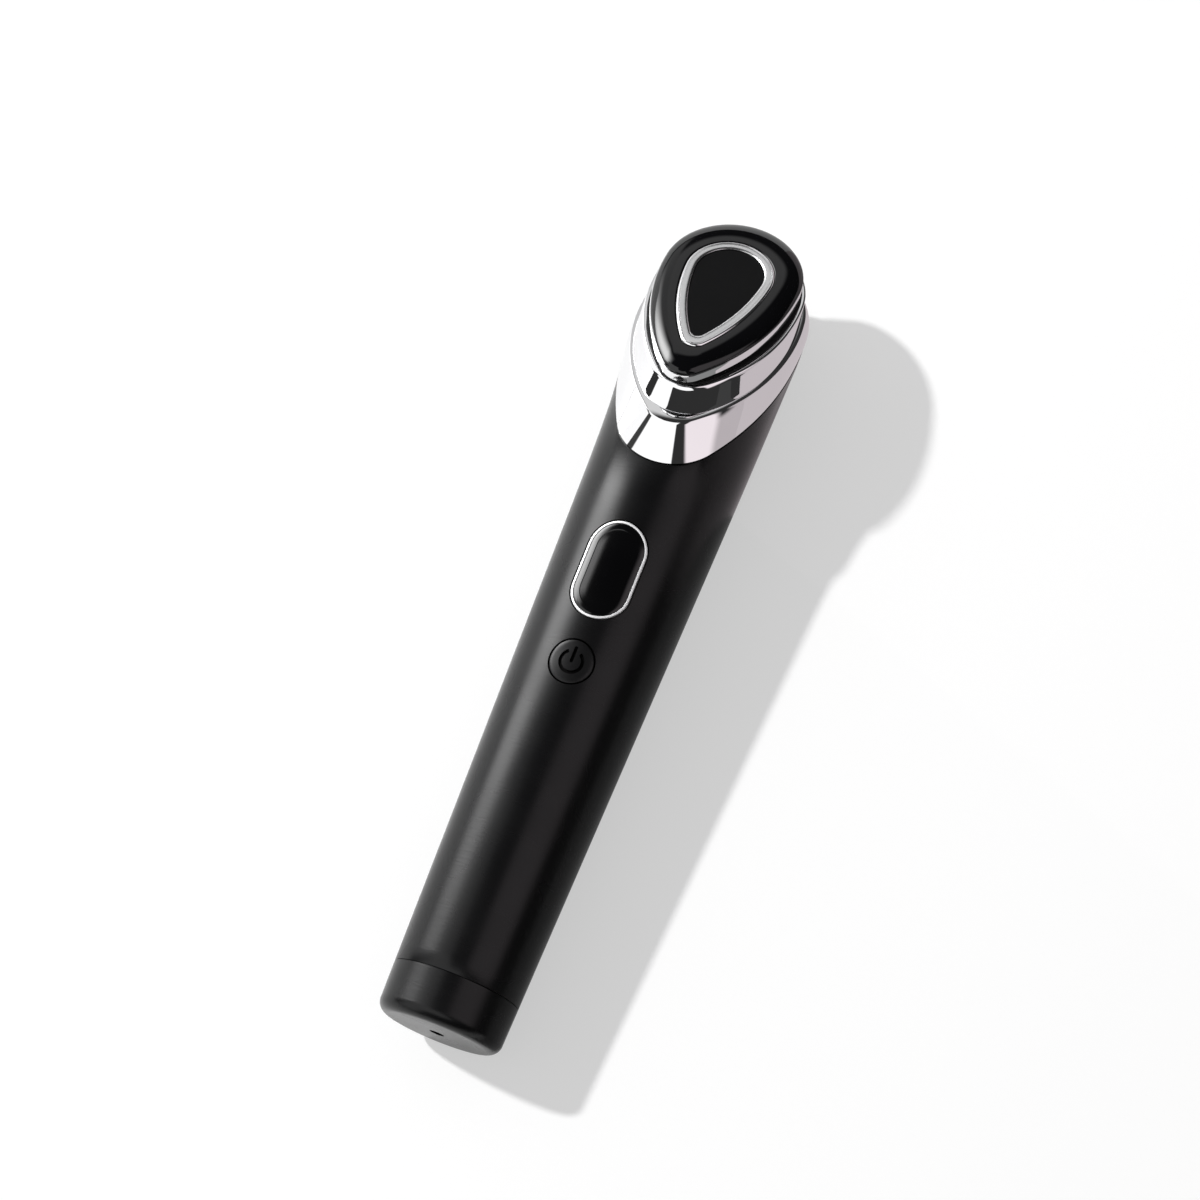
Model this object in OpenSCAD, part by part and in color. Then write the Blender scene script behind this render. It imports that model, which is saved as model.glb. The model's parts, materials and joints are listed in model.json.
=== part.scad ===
// Hand-held LED facial massager: a tapered black wand with a power button and a
// small display window, cut off obliquely at the top, where a chromed head with
// a drop-shaped treatment face looks forward and a little upward.
//
// The pieces are drawn standing on the tail, axis along +Z, button toward -Y.
// lay() then puts the wand on its back line, as it lies on a table: head
// toward +Y, button toward +Z, and the table at z = 0.

/* [Handle] */
// Diameter of the handle's cone where it reaches the tail end
tail_d = 24.9; // [22:0.1:30]
// Half angle of the handle's taper, in degrees
taper = 1.41; // [0.8:0.01:1.9]
// Wall of the handle and of the end cap
wall = 1.8; // [1.2:0.1:2.2]
// How far below the face's reference point the back of the head rounds in
dome_below = 8.8; // [6:0.1:12.8]
// Height of the rounding at the back of the head
dome_h = 19; // [17:0.5:22]
// Fullness of the rounding at the back of the head
dome_power = 2.6; // [2:0.1:3.5]
// Height at which the handle starts to flare toward the head
flare_start = 108; // [106:0.5:110]
// Depth of the oblique cut behind the silver rim's plane
cut_h = 13.8; // [13.4:0.1:14.2]
// Dark hairline between the cut and the chromed collar
cut_gap = 0.25; // [0.1:0.05:0.5]

/* [End cap] */
// Height of the seam between the end cap and the handle
cap_len = 9.7; // [8:0.1:13]
// Radius that rounds the tail end
end_round = 2.4; // [1.5:0.1:3.5]
// Length of the spigot that goes up inside the handle
spigot_len = 5; // [3:0.5:6]
// Width of the hairline at the seam
seam_gap = 0.12; // [0.05:0.01:0.3]
// Diameter of the hole that the charging plug goes through
port_d = 3; // [2.8:0.1:4]

/* [Power button] */
// Height of the button's centre
button_z = 73.9; // [71:0.1:77]
// Diameter of the button's cap
button_d = 8.8; // [7:0.1:10]
// Groove all round the cap
button_gap = 0.2; // [0.1:0.05:0.4]
// How far the cap goes in
button_travel = 0.6; // [0.3:0.05:0.8]

/* [Display window] */
// Height of the window's centre
window_z = 93.5; // [91:0.1:96]
// Width over the chromed trim
window_w = 12; // [10.5:0.1:13]
// Height over the chromed trim
window_h = 20.5; // [18:0.1:22]
// Width of the trim's visible line
trim_w = 0.4; // [0.2:0.05:0.8]
// Thickness of the curved lens
lens_t = 1; // [0.8:0.05:1.2]
// How far the lens laps over the wall behind it
lens_lap = 1.3; // [0.8:0.1:1.8]

/* [Head, seen square to the face] */
// Angle of the face's normal above straight ahead
face_tilt = 22; // [20:0.5:24]
// Height of the face's reference point, on the silver rim's plane
face_z = 158.8; // [158:0.1:160]
// How far that point lies in front of the handle's axis
face_y = 13.4; // [13:0.1:14]
// Width of the glossy block
block_w = 27.8; // [26:0.1:28.4]
// Top of the block above the reference point
block_top = 15; // [14.5:0.1:15.2]
// Tip of the block below the reference point
block_tip = 28.2; // [27.5:0.1:28.6]
// Radius of the block's lower tip
block_tip_r = 4.7; // [4:0.1:6]
// Radius of the block's flanks
block_side_r = 40; // [36:1:48]
// How far the block's crown rises above the silver rim
crown = 1.9; // [1.5:0.1:2.5]
// Width of the drop-shaped electrode
drop_w = 17.9; // [16:0.1:19]
// Top of the electrode above the reference point
drop_top = 8.2; // [7.5:0.1:8.6]
// Tip of the electrode below the reference point
drop_tip = 21.9; // [21:0.1:22.4]
// Radius of the electrode's lower tip
drop_tip_r = 2.9; // [2.5:0.1:3.5]
// Radius of the electrode's flanks
drop_side_r = 38; // [34:1:44]
// Width of the electrode's band
drop_band = 2; // [1.6:0.1:2.4]
// Extra width of the band at its tip
drop_tip_band = 0.8; // [0.4:0.1:1.2]
// How far the electrode stands proud of the block's crown
drop_proud = 0.2; // [0.1:0.05:0.4]

/* [Head, in layers behind the face] */
// Height of the silver rim
rim_h = 2; // [1.6:0.1:2.2]
// Width of the silver rim's band
rim_band = 1.6; // [1.2:0.1:1.8]
// How far the silver rim stands out past the glossy block
rim_out = 0.25; // [0.1:0.05:0.4]
// Depth of the bezel's upper edge behind the rim's plane
bezel_top_h = 3.5; // [3.3:0.1:3.9]
// Depth of the bezel's lower edge
bezel_base_h = 8; // [7.6:0.1:8.4]
// Depth to which the bezel's straight skirt reaches inside the collar
skirt_h = 12; // [11:0.1:12.2]
// How far the bezel's upper edge stands out past each flank of the block
bezel_out = 1.25; // [1.15:0.05:1.5]
// How far the bezel draws in on each side toward its lower edge
bezel_draw = 0.2; // [0:0.05:0.35]
// Thickness of the bezel's upper edge
bezel_lip = 0.7; // [0.5:0.05:0.9]
// Bevel on the bezel's edges
bezel_bevel = 0.25; // [0.1:0.05:0.4]
// How far the collar's upper edge stands out past each side of the bezel
collar_out = 0.45; // [0.35:0.05:0.65]
// How far the collar's belly stands out past its upper edge on each side
belly_out = 1.35; // [1.1:0.05:1.6]
// Depth of the belly behind the rim's plane
belly_h = 10.8; // [10.4:0.1:11.2]
// How far the collar draws in on each side from its belly to the cut
cut_in = 0.45; // [0.25:0.05:0.55]
// Wall of the collar
collar_wall = 1.5; // [1.2:0.1:1.6]

/* [Inside] */
// Clearance where one fixed piece fits in another
fit_gap = 0.1; // [0.05:0.01:0.15]
// Thickness of the main board
board_t = 1.2; // [0.8:0.1:1.4]
// Distance of the board's front face from the axis
board_y = 6.6; // [6.4:0.1:6.8]
// Width of the main board
board_w = 16; // [13:0.5:16.5]
// Lower end of the main board
board_z0 = 18.4; // [18:0.1:19]
// Upper end of the main board
board_z1 = 112; // [111:0.5:115]
// Diameter of the battery cell
cell_d = 14; // [12:0.1:14.2]
// Length of the battery cell
cell_len = 50; // [40:1:50]
// Lower end of the battery cell
cell_z = 21; // [20.5:0.5:22]
// Distance of the cell's axis behind the handle's axis
cell_y = 3.6; // [3.4:0.1:3.7]
// Diameter of the vibration motor
motor_d = 6; // [5:0.1:6.4]
// Length of the vibration motor
motor_len = 12; // [10:0.5:13]
// Lower end of the motor
motor_z = 128; // [127:0.5:130]
// Distance of the motor's axis behind the handle's axis
motor_y = 4; // [3:0.5:5]

/* [Hidden] */
$fn = 96;

// Handle
function r_at(z) = tail_d / 2 + z * tan(taper);
dome_start = face_z - dome_below;
dome_top = dome_start + dome_h;
dome_steps = 20;
// The rounding as a superellipse, shrunk by d on every side
function dome_r(z, d) = let (u = (z - dome_start) / (dome_h + d))
    (r_at(dome_start) + d) * pow(max(0, 1 - pow(u, dome_power)), 1 / dome_power);
function dome_z(i, d) = dome_start + (dome_h + d) * sin(90 * i / dome_steps);
// Where the middle of the wand's length lies, so that it ends up at y = 0
tip_n = [-cos(face_tilt), sin(face_tilt)];
tip_t = [sin(face_tilt), cos(face_tilt)];
top_local = (block_top + rim_out) * tip_t + [-face_y, face_z];
wand_top = top_local[0] * sin(taper) + top_local[1] * cos(taper);
wand_tail = -(tail_d / 2 - end_round) * sin(taper);
mid_y = (wand_top + wand_tail) / 2;

// Head outlines, each [top radius, its height, tip radius, its height, flank radius]
function drop(w, top, tip, tip_r, side_r) =
    [w / 2, top - w / 2, tip_r, tip_r - tip, side_r];
function grow(o, d) = [o[0] + d, o[1], o[2] + d, o[3], o[4] + d];
block = drop(block_w, block_top, block_tip, block_tip_r, block_side_r);
drop_out = drop(drop_w, drop_top, drop_tip, drop_tip_r, drop_side_r);
drop_in = drop(drop_w - 2 * drop_band, drop_top - drop_band,
    drop_tip - drop_band - drop_tip_band, drop_tip_r - 1.4, drop_side_r);
bezel_w = block_w + 2 * bezel_out;
base_w = bezel_w - 2 * bezel_draw;
collar_w = base_w + 2 * collar_out;
belly_w = collar_w + 2 * belly_out;
cut_w = belly_w - 2 * cut_in;
bezel_up = drop(bezel_w, block_top + 0.4, block_tip - 0.3, 7.7, 34.4);
bezel_dn = drop(base_w, block_top - 0.8, block_tip + 2.8, 9.5, 33.4);
bezel_in = grow(bezel_up, -bezel_lip);
skirt = grow(bezel_dn, -1.2);
skirt_in = grow(bezel_dn, -2.4);
collar_up = drop(collar_w, block_top - 0.5, block_tip + 5.1, 6.5, 35.5);
shoulder = drop(belly_w - 0.5, block_top + 0.7, block_tip + 6.4, 7.6, 42);
belly = drop(belly_w, block_top + 0.9, block_tip + 8.2, 9.2, 48);
cut_line = drop(cut_w, block_top + 0.5, block_tip + 11.6, 11, 58);
shoulder_h = bezel_base_h + 0.9;
// Layers of the head, as heights over the rim's plane
rim_z = -rim_h;
step_z = rim_z - 0.2;
carrier_z1 = -bezel_top_h + 0.3;
carrier_seat = bezel_base_h - 0.9;
carrier_z0 = -carrier_seat + 0.02;
led_board_z = carrier_z1 - 1.05;
led_board_t = 1;
ledge_z = crown - 1.4;
ledge_t = 0.6;
diffuser_t = 0.55;
reflector_z = led_board_z + led_board_t;
led_w = 1.6;
// Rows of lights, each [height, [places across]]
led_rows = [[3.4, [-2.8, 0, 2.8]], [-1.2, [-3.6, 0, 3.6]], [-5.8, [-2.4, 2.4]],
    [-10.4, [0]], [-14.6, [0]]];
relief = drop(block_w - 14, block_top - 7, block_tip - 7.5, 2, block_side_r - 5);
pocket = grow(block, -2.6);
boss_x = 9;
boss_s = -3;
pin_x = drop_w / 2 - drop_band / 2;
pin_s = drop_out[1];
crown_steps = 7;
// Button and switch, as distances from the axis
bore_d = button_d + 2 * button_gap;
flange_d = button_d + 1.8;
flange_t = 0.8;
button_r = r_at(button_z);
flange_y = sqrt(pow(r_at(button_z - flange_d / 2) - wall, 2)
    - pow(flange_d / 2, 2)) - 0.1;
switch_h = 1.9;
plunger_d = 3.2;
plunger_y = flange_y - flange_t - 0.4;
// Window
function slot_r(d) = window_w / 2 + d;
display_y = r_at(window_z) - wall - 1.35;
// Inside
chassis_t = 1.5;
chassis_y = cell_d / 2 - cell_y + fit_gap;
post_y = board_y - board_t;
chassis_z0 = cell_z + 1.5;
chassis_z1 = board_z1 + 3;
jack_w = 7.4;
jack_t = 6.4;
jack_len = 11.4;
jack_z = wall + 0.05;
sleeve_d = 3.4;
sleeve_in = port_d - 0.4;
jack_board_t = 1;
parts_h = 3.4;
connector_z = board_z1 - 4;
buzzer_z = button_z - 16.4;
sleeve_wall = 1;
boot_d = motor_d + 2 * sleeve_wall;
shaft_d = 1;
shaft_gap = 0.03;
weight_gap = 0.5;
weight_h = 4;
ribbon_t = 0.3;
ribbon_w = 6;
screw_d = 2;
screw_head = 3.6;
body_black = "#1b1b1d";
gloss_black = "#08080a";
chrome = "#d9dadc";
silver = "#b9bbbd";
board_green = "#1d5a3a";
nickel = "#b4b1a6";

module lay() {
    translate([0, -mid_y, tail_d / 2 * cos(taper)])
    rotate([taper - 90, 0, 0])
    children();
}
// Children are drawn lying, their height counted outward from the axis
module on_front(z) {
    translate([0, 0, z])
    rotate([90, 0, 0])
    children();
}
// Children are drawn lying on the face, top toward +y, outward +z
module on_face() {
    translate([0, -face_y, face_z])
    rotate([90 - face_tilt, 0, 0])
    children();
}
// Children are drawn on the oblique cut, outward +z
module on_cut() {
    on_face()
    translate([0, cut_line[3] - cut_line[2], -cut_h])
    children();
}
module cut_slab(z0, z1) {
    on_cut()
    translate([-30, -40, z0])
    cube([60, 130, z1 - z0]);
}
// The handle's outer form, grown by d, from height z0 up
module wand(z0, d = 0) {
    rotate_extrude()
    polygon(concat(
        [[0, z0], [r_at(z0) + d, z0], [r_at(dome_start) + d, dome_start]],
        [for (i = [1 : dome_steps - 1]) [dome_r(dome_z(i, d), d), dome_z(i, d)]],
        [[0, dome_top + d]]));
}
// The handle's cone alone, grown by d, between two heights
module cone(z0, z1, d = 0) {
    translate([0, 0, z0])
    cylinder(h = z1 - z0, r1 = r_at(z0) + d, r2 = r_at(z1) + d);
}
// The flank arcs' centres and ends: [side offset, height, upper end, lower end]
function flanks(o) = let (a = o[4] - o[0], b = o[4] - o[2],
    c = (o[1] * o[1] - o[3] * o[3] - a * a + b * b) / (2 * (o[1] - o[3])))
    [sqrt(a * a - pow(c - o[1], 2)), c,
    c + o[4] * (o[1] - c) / a, c + o[4] * (o[3] - c) / b];
// Points round a drop outline at height z, as many on every outline
function arc(x, y, r, a0, a1, n, z) =
    [for (i = [0 : n - 1]) let (t = a0 + (a1 - a0) * i / n) [x + r * cos(t), y + r * sin(t), z]];
function ring(o, z) = let (f = flanks(o), hi = atan2(o[1] - f[1], f[0]),
    lo = atan2(o[3] - f[1], f[0])) concat(
    arc(-f[0], f[1], o[4], lo, hi, 10, z), arc(0, o[1], o[0], hi, 180 - hi, 26, z),
    arc(f[0], f[1], o[4], 180 - hi, 180 - lo, 10, z), arc(0, o[3], o[2], 180 - lo, 360 + lo, 18, z));
function mix(o, p, t) = o * (1 - t) + p * t;
// A solid skinned over rings of equally many points, from the lowest ring up
module loft(rings) {
    n = len(rings[0]);
    k = len(rings) - 1;
    polyhedron(
        points = [for (r = rings, q = r) q],
        faces = concat(
            [[for (i = [0 : n - 1]) i], [for (i = [n - 1 : -1 : 0]) k * n + i]],
            [for (j = [0 : k - 1], i = [0 : n - 1]) let (m = (i + 1) % n)
                [j * n + i, (j + 1) * n + i, (j + 1) * n + m]],
            [for (j = [0 : k - 1], i = [0 : n - 1]) let (m = (i + 1) % n)
                [j * n + i, (j + 1) * n + m, j * n + m]]));
}
// Whether a point lies within a drop outline
function inside(o, x, y) = let (f = flanks(o))
    y > f[2] ? norm([x, y - o[1]]) < o[0] :
    y < f[3] ? norm([x, y - o[3]]) < o[2] : norm([abs(x) + f[0], y - f[1]]) < o[4];
// Distance from the handle's axis to the cut's outline, toward angle a from the front
function reach(a, lo = 0, hi = 40, n = 26) = n == 0 ? lo :
    let (m = (lo + hi) / 2, y = (face_y - cut_h * cos(face_tilt) - m * cos(a)) / sin(face_tilt))
    inside(cut_line, m * sin(a), y) ? reach(a, m, hi, n - 1) : reach(a, lo, m, n - 1);
function axis_z(r, a) = face_z - cut_h * sin(face_tilt)
    + (face_y - cut_h * cos(face_tilt) - r * cos(a)) / tan(face_tilt);
// The round handle's radius at any height, the rounded top included
function round_r(z) = z > dome_start ? dome_r(z, 0) : r_at(z);
flare_n = 72;
flare_steps = 14;
flare_inset = 0.04;
// The flank arcs stay this far inside their tangents, so that arcs cross cleanly
flank_inset = 0.01;
// Rings from the round handle up to the cut's outline, outermost at the belly
flare_rings = let (ends = [for (i = [0 : flare_n - 1]) let (a = 360 * i / flare_n, r = reach(a))
    [a, r, axis_z(r, a)]])
    [for (k = [0 : flare_steps]) let (t = sin(90 * k / flare_steps)) [for (e = ends)
        let (z = flare_start + (e[2] - flare_start) * t,
            r = round_r(z) + (e[1] - round_r(e[2])) * pow(t, 3) - (k == 0 ? flare_inset : 0))
        [r * sin(e[0]), -r * cos(e[0]), z]]];
cut_low = axis_z(reach(0), 0);
// A drop outline: a large top arc, a small tip arc and two flank arcs
module egg(o) {
    f = flanks(o);
    x = f[0];
    c = f[1];
    hi = f[2];
    lo = f[3];
    translate([0, o[1]])
    circle(r = o[0]);
    translate([0, o[3]])
    circle(r = o[2]);
    intersection() {
        translate([-x, c])
        circle(r = o[4] - flank_inset, $fn = 240);
        translate([x, c])
        circle(r = o[4] - flank_inset, $fn = 240);
        translate([-40, lo])
        square([80, hi - lo]);
    }
}
module egg_plate(o, z0, z1) {
    translate([0, 0, z0])
    linear_extrude(z1 - z0)
    egg(o);
}
// An upright oblong with round ends, as wide as the window plus 2 d
module oblong(d) {
    r = slot_r(d);
    half = window_h / 2 - window_w / 2;
    translate([0, half])
    circle(r = r);
    translate([0, -half])
    circle(r = r);
    translate([-r, -half])
    square([2 * r, 2 * half]);
}
module window_prism(d, y0, y1) {
    on_front(window_z)
    translate([0, 0, y0])
    linear_extrude(y1 - y0)
    oblong(d);
}
// A sheet of thickness t under the handle's surface, within the window
module window_sheet(d, t, proud = 0) {
    difference() {
        intersection() {
            window_prism(d, 5, 20);
            cone(window_z - 15, window_z + 15, proud);
        }
        cone(window_z - 16, window_z + 16, -t);
    }
}

module handle_shell() {
    color(body_black)
    lay()
    difference() {
        union() {
            cone(cap_len + seam_gap, flare_start);
            loft(flare_rings);
        }
        wand(cap_len - 1, -wall);
        on_front(button_z)
        cylinder(h = 20, d = bore_d);
        window_prism(-lens_lap, 0, 20);
        difference() {
            window_prism(fit_gap / 2, 5, 20);
            cone(window_z - 16, window_z + 16, -lens_t - fit_gap / 2);
        }
    }
}
module end_cap() {
    rf = r_at(end_round) - end_round;
    color(body_black)
    lay()
    difference() {
        union() {
            rotate_extrude() {
                polygon([[0, 0], [rf, 0], [rf, end_round], [r_at(end_round), end_round],
                    [r_at(cap_len), cap_len], [0, cap_len]]);
                intersection() {
                    translate([rf, end_round])
                    circle(r = end_round);
                    translate([rf - 1, 0])
                    square([end_round + 1, end_round]);
                }
            }
            cone(cap_len - 1, cap_len + spigot_len, -wall - fit_gap);
        }
        difference() {
            cone(wall, cap_len + spigot_len + 1, -2 * wall);
            // Ribs that hold the charging jack
            for (s = [-1, 1])
                translate([s * (jack_w / 2 + fit_gap + 0.6) - 0.6, -6, 0])
                cube([1.2, 12, cap_len]);
        }
        cylinder(h = 3 * wall, d = port_d, center = true);
    }
}
module charge_jack() {
    color("#222224")
    lay()
    difference() {
        translate([-jack_w / 2, -jack_t / 2, jack_z])
        cube([jack_w, jack_t, jack_len]);
        translate([0, 0, jack_z - 1])
        cylinder(h = jack_len - 1, d = sleeve_d + 2 * fit_gap);
        cylinder(h = 30, d = 0.7 + 2 * fit_gap);
    }
}
module jack_sleeve() {
    color(nickel)
    lay()
    difference() {
        translate([0, 0, jack_z + 0.1])
        cylinder(h = jack_len - 2.2, d = sleeve_d);
        cylinder(h = 30, d = sleeve_in);
    }
}
module jack_pin() {
    color(nickel)
    lay()
    translate([0, 0, jack_z + 1.5])
    cylinder(h = jack_len - 1, d = 0.7);
}
module charge_board() {
    color(board_green)
    lay()
    difference() {
        translate([-6, jack_t / 2 + 0.02, jack_z + 0.3])
        cube([12, jack_board_t, 14]);
        // Notches for the ribs of the end cap
        for (s = [-1, 1])
            translate([s * (jack_w / 2 + fit_gap + 0.6) - 0.7, 0, 0])
            cube([1.4, 12, cap_len + 0.2]);
    }
}
module chassis() {
    color("#3a3b3f")
    lay()
    difference() {
        intersection() {
            cone(chassis_z0, chassis_z1, -wall - fit_gap);
            union() {
                translate([-15, -chassis_y - chassis_t, chassis_z0])
                cube([30, chassis_t, chassis_z1 - chassis_z0]);
                // Cradles round the cell, and one foot above it
                for (z = [chassis_z0 + 2, cell_z + cell_len - 12, chassis_z1 - 12])
                    translate([-15, -chassis_y - chassis_t, z])
                    cube([30, 30, 2]);
                for (z = [board_z0 + 8, window_z - 18, board_z1 - 5], s = [-1, 1])
                    translate([s * (board_w / 2 - 2.4), 0, z])
                    rotate([90, 0, 0])
                    cylinder(h = post_y - fit_gap / 2, d = 4);
            }
        }
        translate([0, cell_y, cell_z - 5])
        cylinder(h = cell_len + 5.5, d = cell_d + 2 * fit_gap);
        // Slot for the upper battery tab
        translate([-3.2, -20, cell_z + cell_len + 0.02])
        cube([6.4, 20 + cell_y, 1.1]);
        translate([0, cell_y, chassis_z1 - 20])
        cylinder(h = 30, d = 12);
        for (z = [board_z0 + 8, window_z - 18, board_z1 - 5], s = [-1, 1])
            translate([s * (board_w / 2 - 2.4), -chassis_y - 0.9, z])
            rotate([90, 0, 0])
            cylinder(h = 20, d = 1.4 + 2 * fit_gap);
    }
}
module main_board() {
    color(board_green)
    lay()
    difference() {
        translate([-board_w / 2, -board_y, board_z0])
        cube([board_w, board_t, board_z1 - board_z0]);
        for (z = [board_z0 + 8, window_z - 18, board_z1 - 5], s = [-1, 1])
            translate([s * (board_w / 2 - 2.4), 0, z])
            rotate([90, 0, 0])
            cylinder(h = 20, d = 1.4 + 2 * fit_gap);
    }
}
module chip(x, z, w, l, h) {
    translate([x - w / 2, -board_y - 0.02 - h, z - l / 2])
    cube([w, h, l]);
}
module can(x, z, d, h) {
    translate([x, -board_y - 0.02, z])
    rotate([90, 0, 0])
    cylinder(h = h, d = d, $fn = 32);
}
module board_parts() {
    lay() {
        // Transformer that drives the electrodes
        color("#2a2320")
        chip(0, board_z0 + 15, 7, 7.6, parts_h);
        // Controller and charging chip
        color("#151517")
        chip(0, button_z - 7.4, 7, 7, 1);
        color("#151517")
        chip(-4.6, board_z0 + 24.6, 3, 4, 1);
        // Capacitors and coil
        color("#8c8f94")
        can(4.6, board_z0 + 24.6, 4, 3);
        color("#8c8f94")
        can(-4.8, board_z0 + 30.4, 3.2, 2.4);
        color("#3b332c")
        chip(4.8, board_z0 + 30.2, 4, 4, 2);
        // Socket for the head's ribbon
        color("#e6e2d4")
        chip(0, connector_z, 8, 4, 1.8);
    }
}
module board_screws() {
    color(nickel)
    lay()
    for (z = [board_z0 + 8, window_z - 18, board_z1 - 5], s = [-1, 1])
        translate([s * (board_w / 2 - 2.4), -chassis_y - 1.1, z])
        rotate([90, 0, 0]) {
            cylinder(h = board_y - chassis_y - 1.1 + 0.02, d = 1.4, $fn = 24);
            translate([0, 0, board_y - chassis_y - 1.1 + 0.02])
            cylinder(h = 0.9, d = 2.6, $fn = 24);
        }
}
module battery() {
    color("#2f5f93")
    lay()
    translate([0, cell_y, cell_z]) {
        cylinder(h = cell_len - 0.8, d = cell_d);
        translate([0, 0, cell_len - 0.8])
        cylinder(h = 0.8, d = 5.5);
    }
}
// A nickel strip on the cell's end face and forward to the board
module tab(z, up) {
    translate([-2.5, -post_y + 0.02, z])
    cube([5, post_y + cell_y + 2.5, 0.2]);
    translate([-2.5, -post_y + 0.02, up ? z : z - 1.4])
    cube([5, 0.2, 1.6]);
}
module battery_tabs() {
    color(nickel)
    lay() {
        tab(cell_z - 0.22, false);
        tab(cell_z + cell_len + 0.04, true);
    }
}
module buzzer() {
    color("#141416")
    lay()
    difference() {
        translate([0, -board_y - 0.02, buzzer_z])
        rotate([90, 0, 0])
        cylinder(h = 3, d = 9);
        translate([0, -board_y - 2.4, buzzer_z])
        rotate([90, 0, 0])
        cylinder(h = 3, d = 1.6);
    }
}
module power_button() {
    color("#202022")
    lay()
    union() {
        intersection() {
            on_front(button_z)
            translate([0, 0, flange_y - flange_t])
            cylinder(h = 20, d = button_d);
            cone(button_z - 10, button_z + 10);
        }
        on_front(button_z)
        translate([0, 0, flange_y - flange_t])
        cylinder(h = flange_t, d = flange_d);
        on_front(button_z)
        translate([0, 0, plunger_y])
        cylinder(h = flange_y - flange_t - plunger_y, d = 4.4);
    }
}
module button_switch() {
    color("#b9b6ac")
    lay()
    on_front(button_z)
    difference() {
        translate([-3, -3, board_y + 0.02])
        cube([6, 6, switch_h]);
        translate([0, 0, board_y + 0.3])
        cylinder(h = switch_h, d = plunger_d + 2 * fit_gap);
    }
}
module switch_plunger() {
    color("#111112")
    lay()
    on_front(button_z)
    translate([0, 0, board_y + 0.4 + button_travel])
    cylinder(h = plunger_y - board_y - 0.4 - button_travel, d = plunger_d);
}
module display_lens() {
    color(gloss_black)
    lay()
    window_sheet(-trim_w - fit_gap / 2, lens_t);
}
module display_trim() {
    color(chrome)
    lay()
    difference() {
        window_sheet(0, lens_t, 0.08);
        window_prism(-trim_w, 0, 20);
    }
}
module display_module() {
    color("#2b2f38")
    lay()
    on_front(window_z)
    translate([-window_w / 2 + lens_lap + 0.4, -window_h / 2 + lens_lap + 1, board_y + 0.05])
    cube([window_w - 2 * lens_lap - 0.8, window_h - 2 * lens_lap - 2,
        display_y - board_y - 0.1]);
}
module display_baffle() {
    color("#111113")
    lay()
    difference() {
        intersection() {
            window_prism(-lens_lap - 0.2, display_y, 20);
            cone(window_z - 15, window_z + 15, -lens_t - fit_gap);
        }
        window_prism(-lens_lap - 1.2, 0, 20);
    }
}
// The collar's form, shrunk by d and reaching e further at both ends
module collar_form(d, e) {
    on_face()
    loft([ring(grow(cut_line, -d), -cut_h + cut_gap - e),
        ring(grow(belly, -d), -belly_h),
        ring(grow(shoulder, -d), -shoulder_h),
        ring(grow(collar_up, -d), -bezel_base_h + e)]);
}
module chrome_collar() {
    color(chrome)
    lay()
    difference() {
        collar_form(0, 0);
        difference() {
            collar_form(collar_wall, 1);
            on_face()
            translate([-30, -50, -bezel_base_h - 1])
            cube([60, 80, 20]);
        }
        on_face()
        egg_plate(grow(skirt, fit_gap), -cut_h, 0);
    }
}
module neck_frame() {
    color("#2c2d30")
    lay()
    difference() {
        union() {
            // A ring that laps both sides of the cut
            difference() {
                intersection() {
                    wand(cut_low - 12, -wall - fit_gap);
                    cut_slab(-5, 1.3);
                    on_face()
                    egg_plate(grow(cut_line, -collar_wall - 2 * fit_gap), -cut_h - 6, 0);
                }
                wand(cut_low - 13, -wall - fit_gap - 1.5);
            }
            intersection() {
                wand(cut_low - 12, -wall - fit_gap - 0.5);
                cut_slab(-1.6, 0);
            }
            // Bosses that carry the head
            intersection() {
                on_face()
                for (s = [-1, 1])
                    translate([s * boss_x, boss_s, -20])
                    cylinder(h = 20 + carrier_z0 - 0.05, d = 4.6);
                cut_slab(-1.6, 30);
            }
        }
        // Way through for the ribbon, and for the motor's leads above it
        on_cut()
        translate([-ribbon_w / 2 - 1, 4, -10])
        cube([ribbon_w + 2, 24, 20]);
        on_cut()
        translate([-5, 32, -10])
        cube([10, 12, 20]);
        on_face()
        for (s = [-1, 1])
            translate([s * boss_x, boss_s, -15])
            cylinder(h = 20, d = screw_d);
    }
}
module head_bezel() {
    color(chrome)
    lay()
    on_face()
    difference() {
        union() {
            egg_plate(skirt, -skirt_h, -bezel_base_h + 0.2);
            loft([ring(grow(bezel_dn, -bezel_bevel), -bezel_base_h),
                ring(bezel_dn, -bezel_base_h + bezel_bevel),
                ring(mix(bezel_dn, bezel_up, 0.94), -bezel_top_h - bezel_bevel),
                ring(grow(bezel_up, -bezel_bevel), -bezel_top_h)]);
        }
        egg_plate(skirt_in, -skirt_h - 1, 0);
        egg_plate(bezel_in, -carrier_seat, 0);
    }
}
module head_carrier() {
    color("#0f0f10")
    lay()
    on_face()
    difference() {
        union() {
            egg_plate(grow(bezel_in, -fit_gap), carrier_z0, carrier_z1);
            egg_plate(grow(block, -1.2), carrier_z1, step_z);
        }
        egg_plate(pocket, led_board_z - 0.05, 1);
        for (s = [-1, 1])
            translate([s * boss_x, boss_s, 0]) {
                translate([0, 0, led_board_z - 1.6])
                cylinder(h = 5, d = screw_head + 2 * fit_gap);
                translate([0, 0, -20])
                cylinder(h = 20, d = screw_d + 2 * fit_gap);
            }
        // Slot for the ribbon and relief for the cavity behind
        translate([-ribbon_w / 2 - 0.5, -15.5, -20])
        cube([ribbon_w + 1, 3, 20]);
        egg_plate(relief, carrier_z0 - 1, led_board_z - 1.6);
        for (s = [-1, 1])
            translate([s * (block_w / 2 - 3.4) - 0.95, block[1] - 0.9, step_z - 0.25])
            cube([1.9, 1.8, 3]);
    }
}
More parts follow.
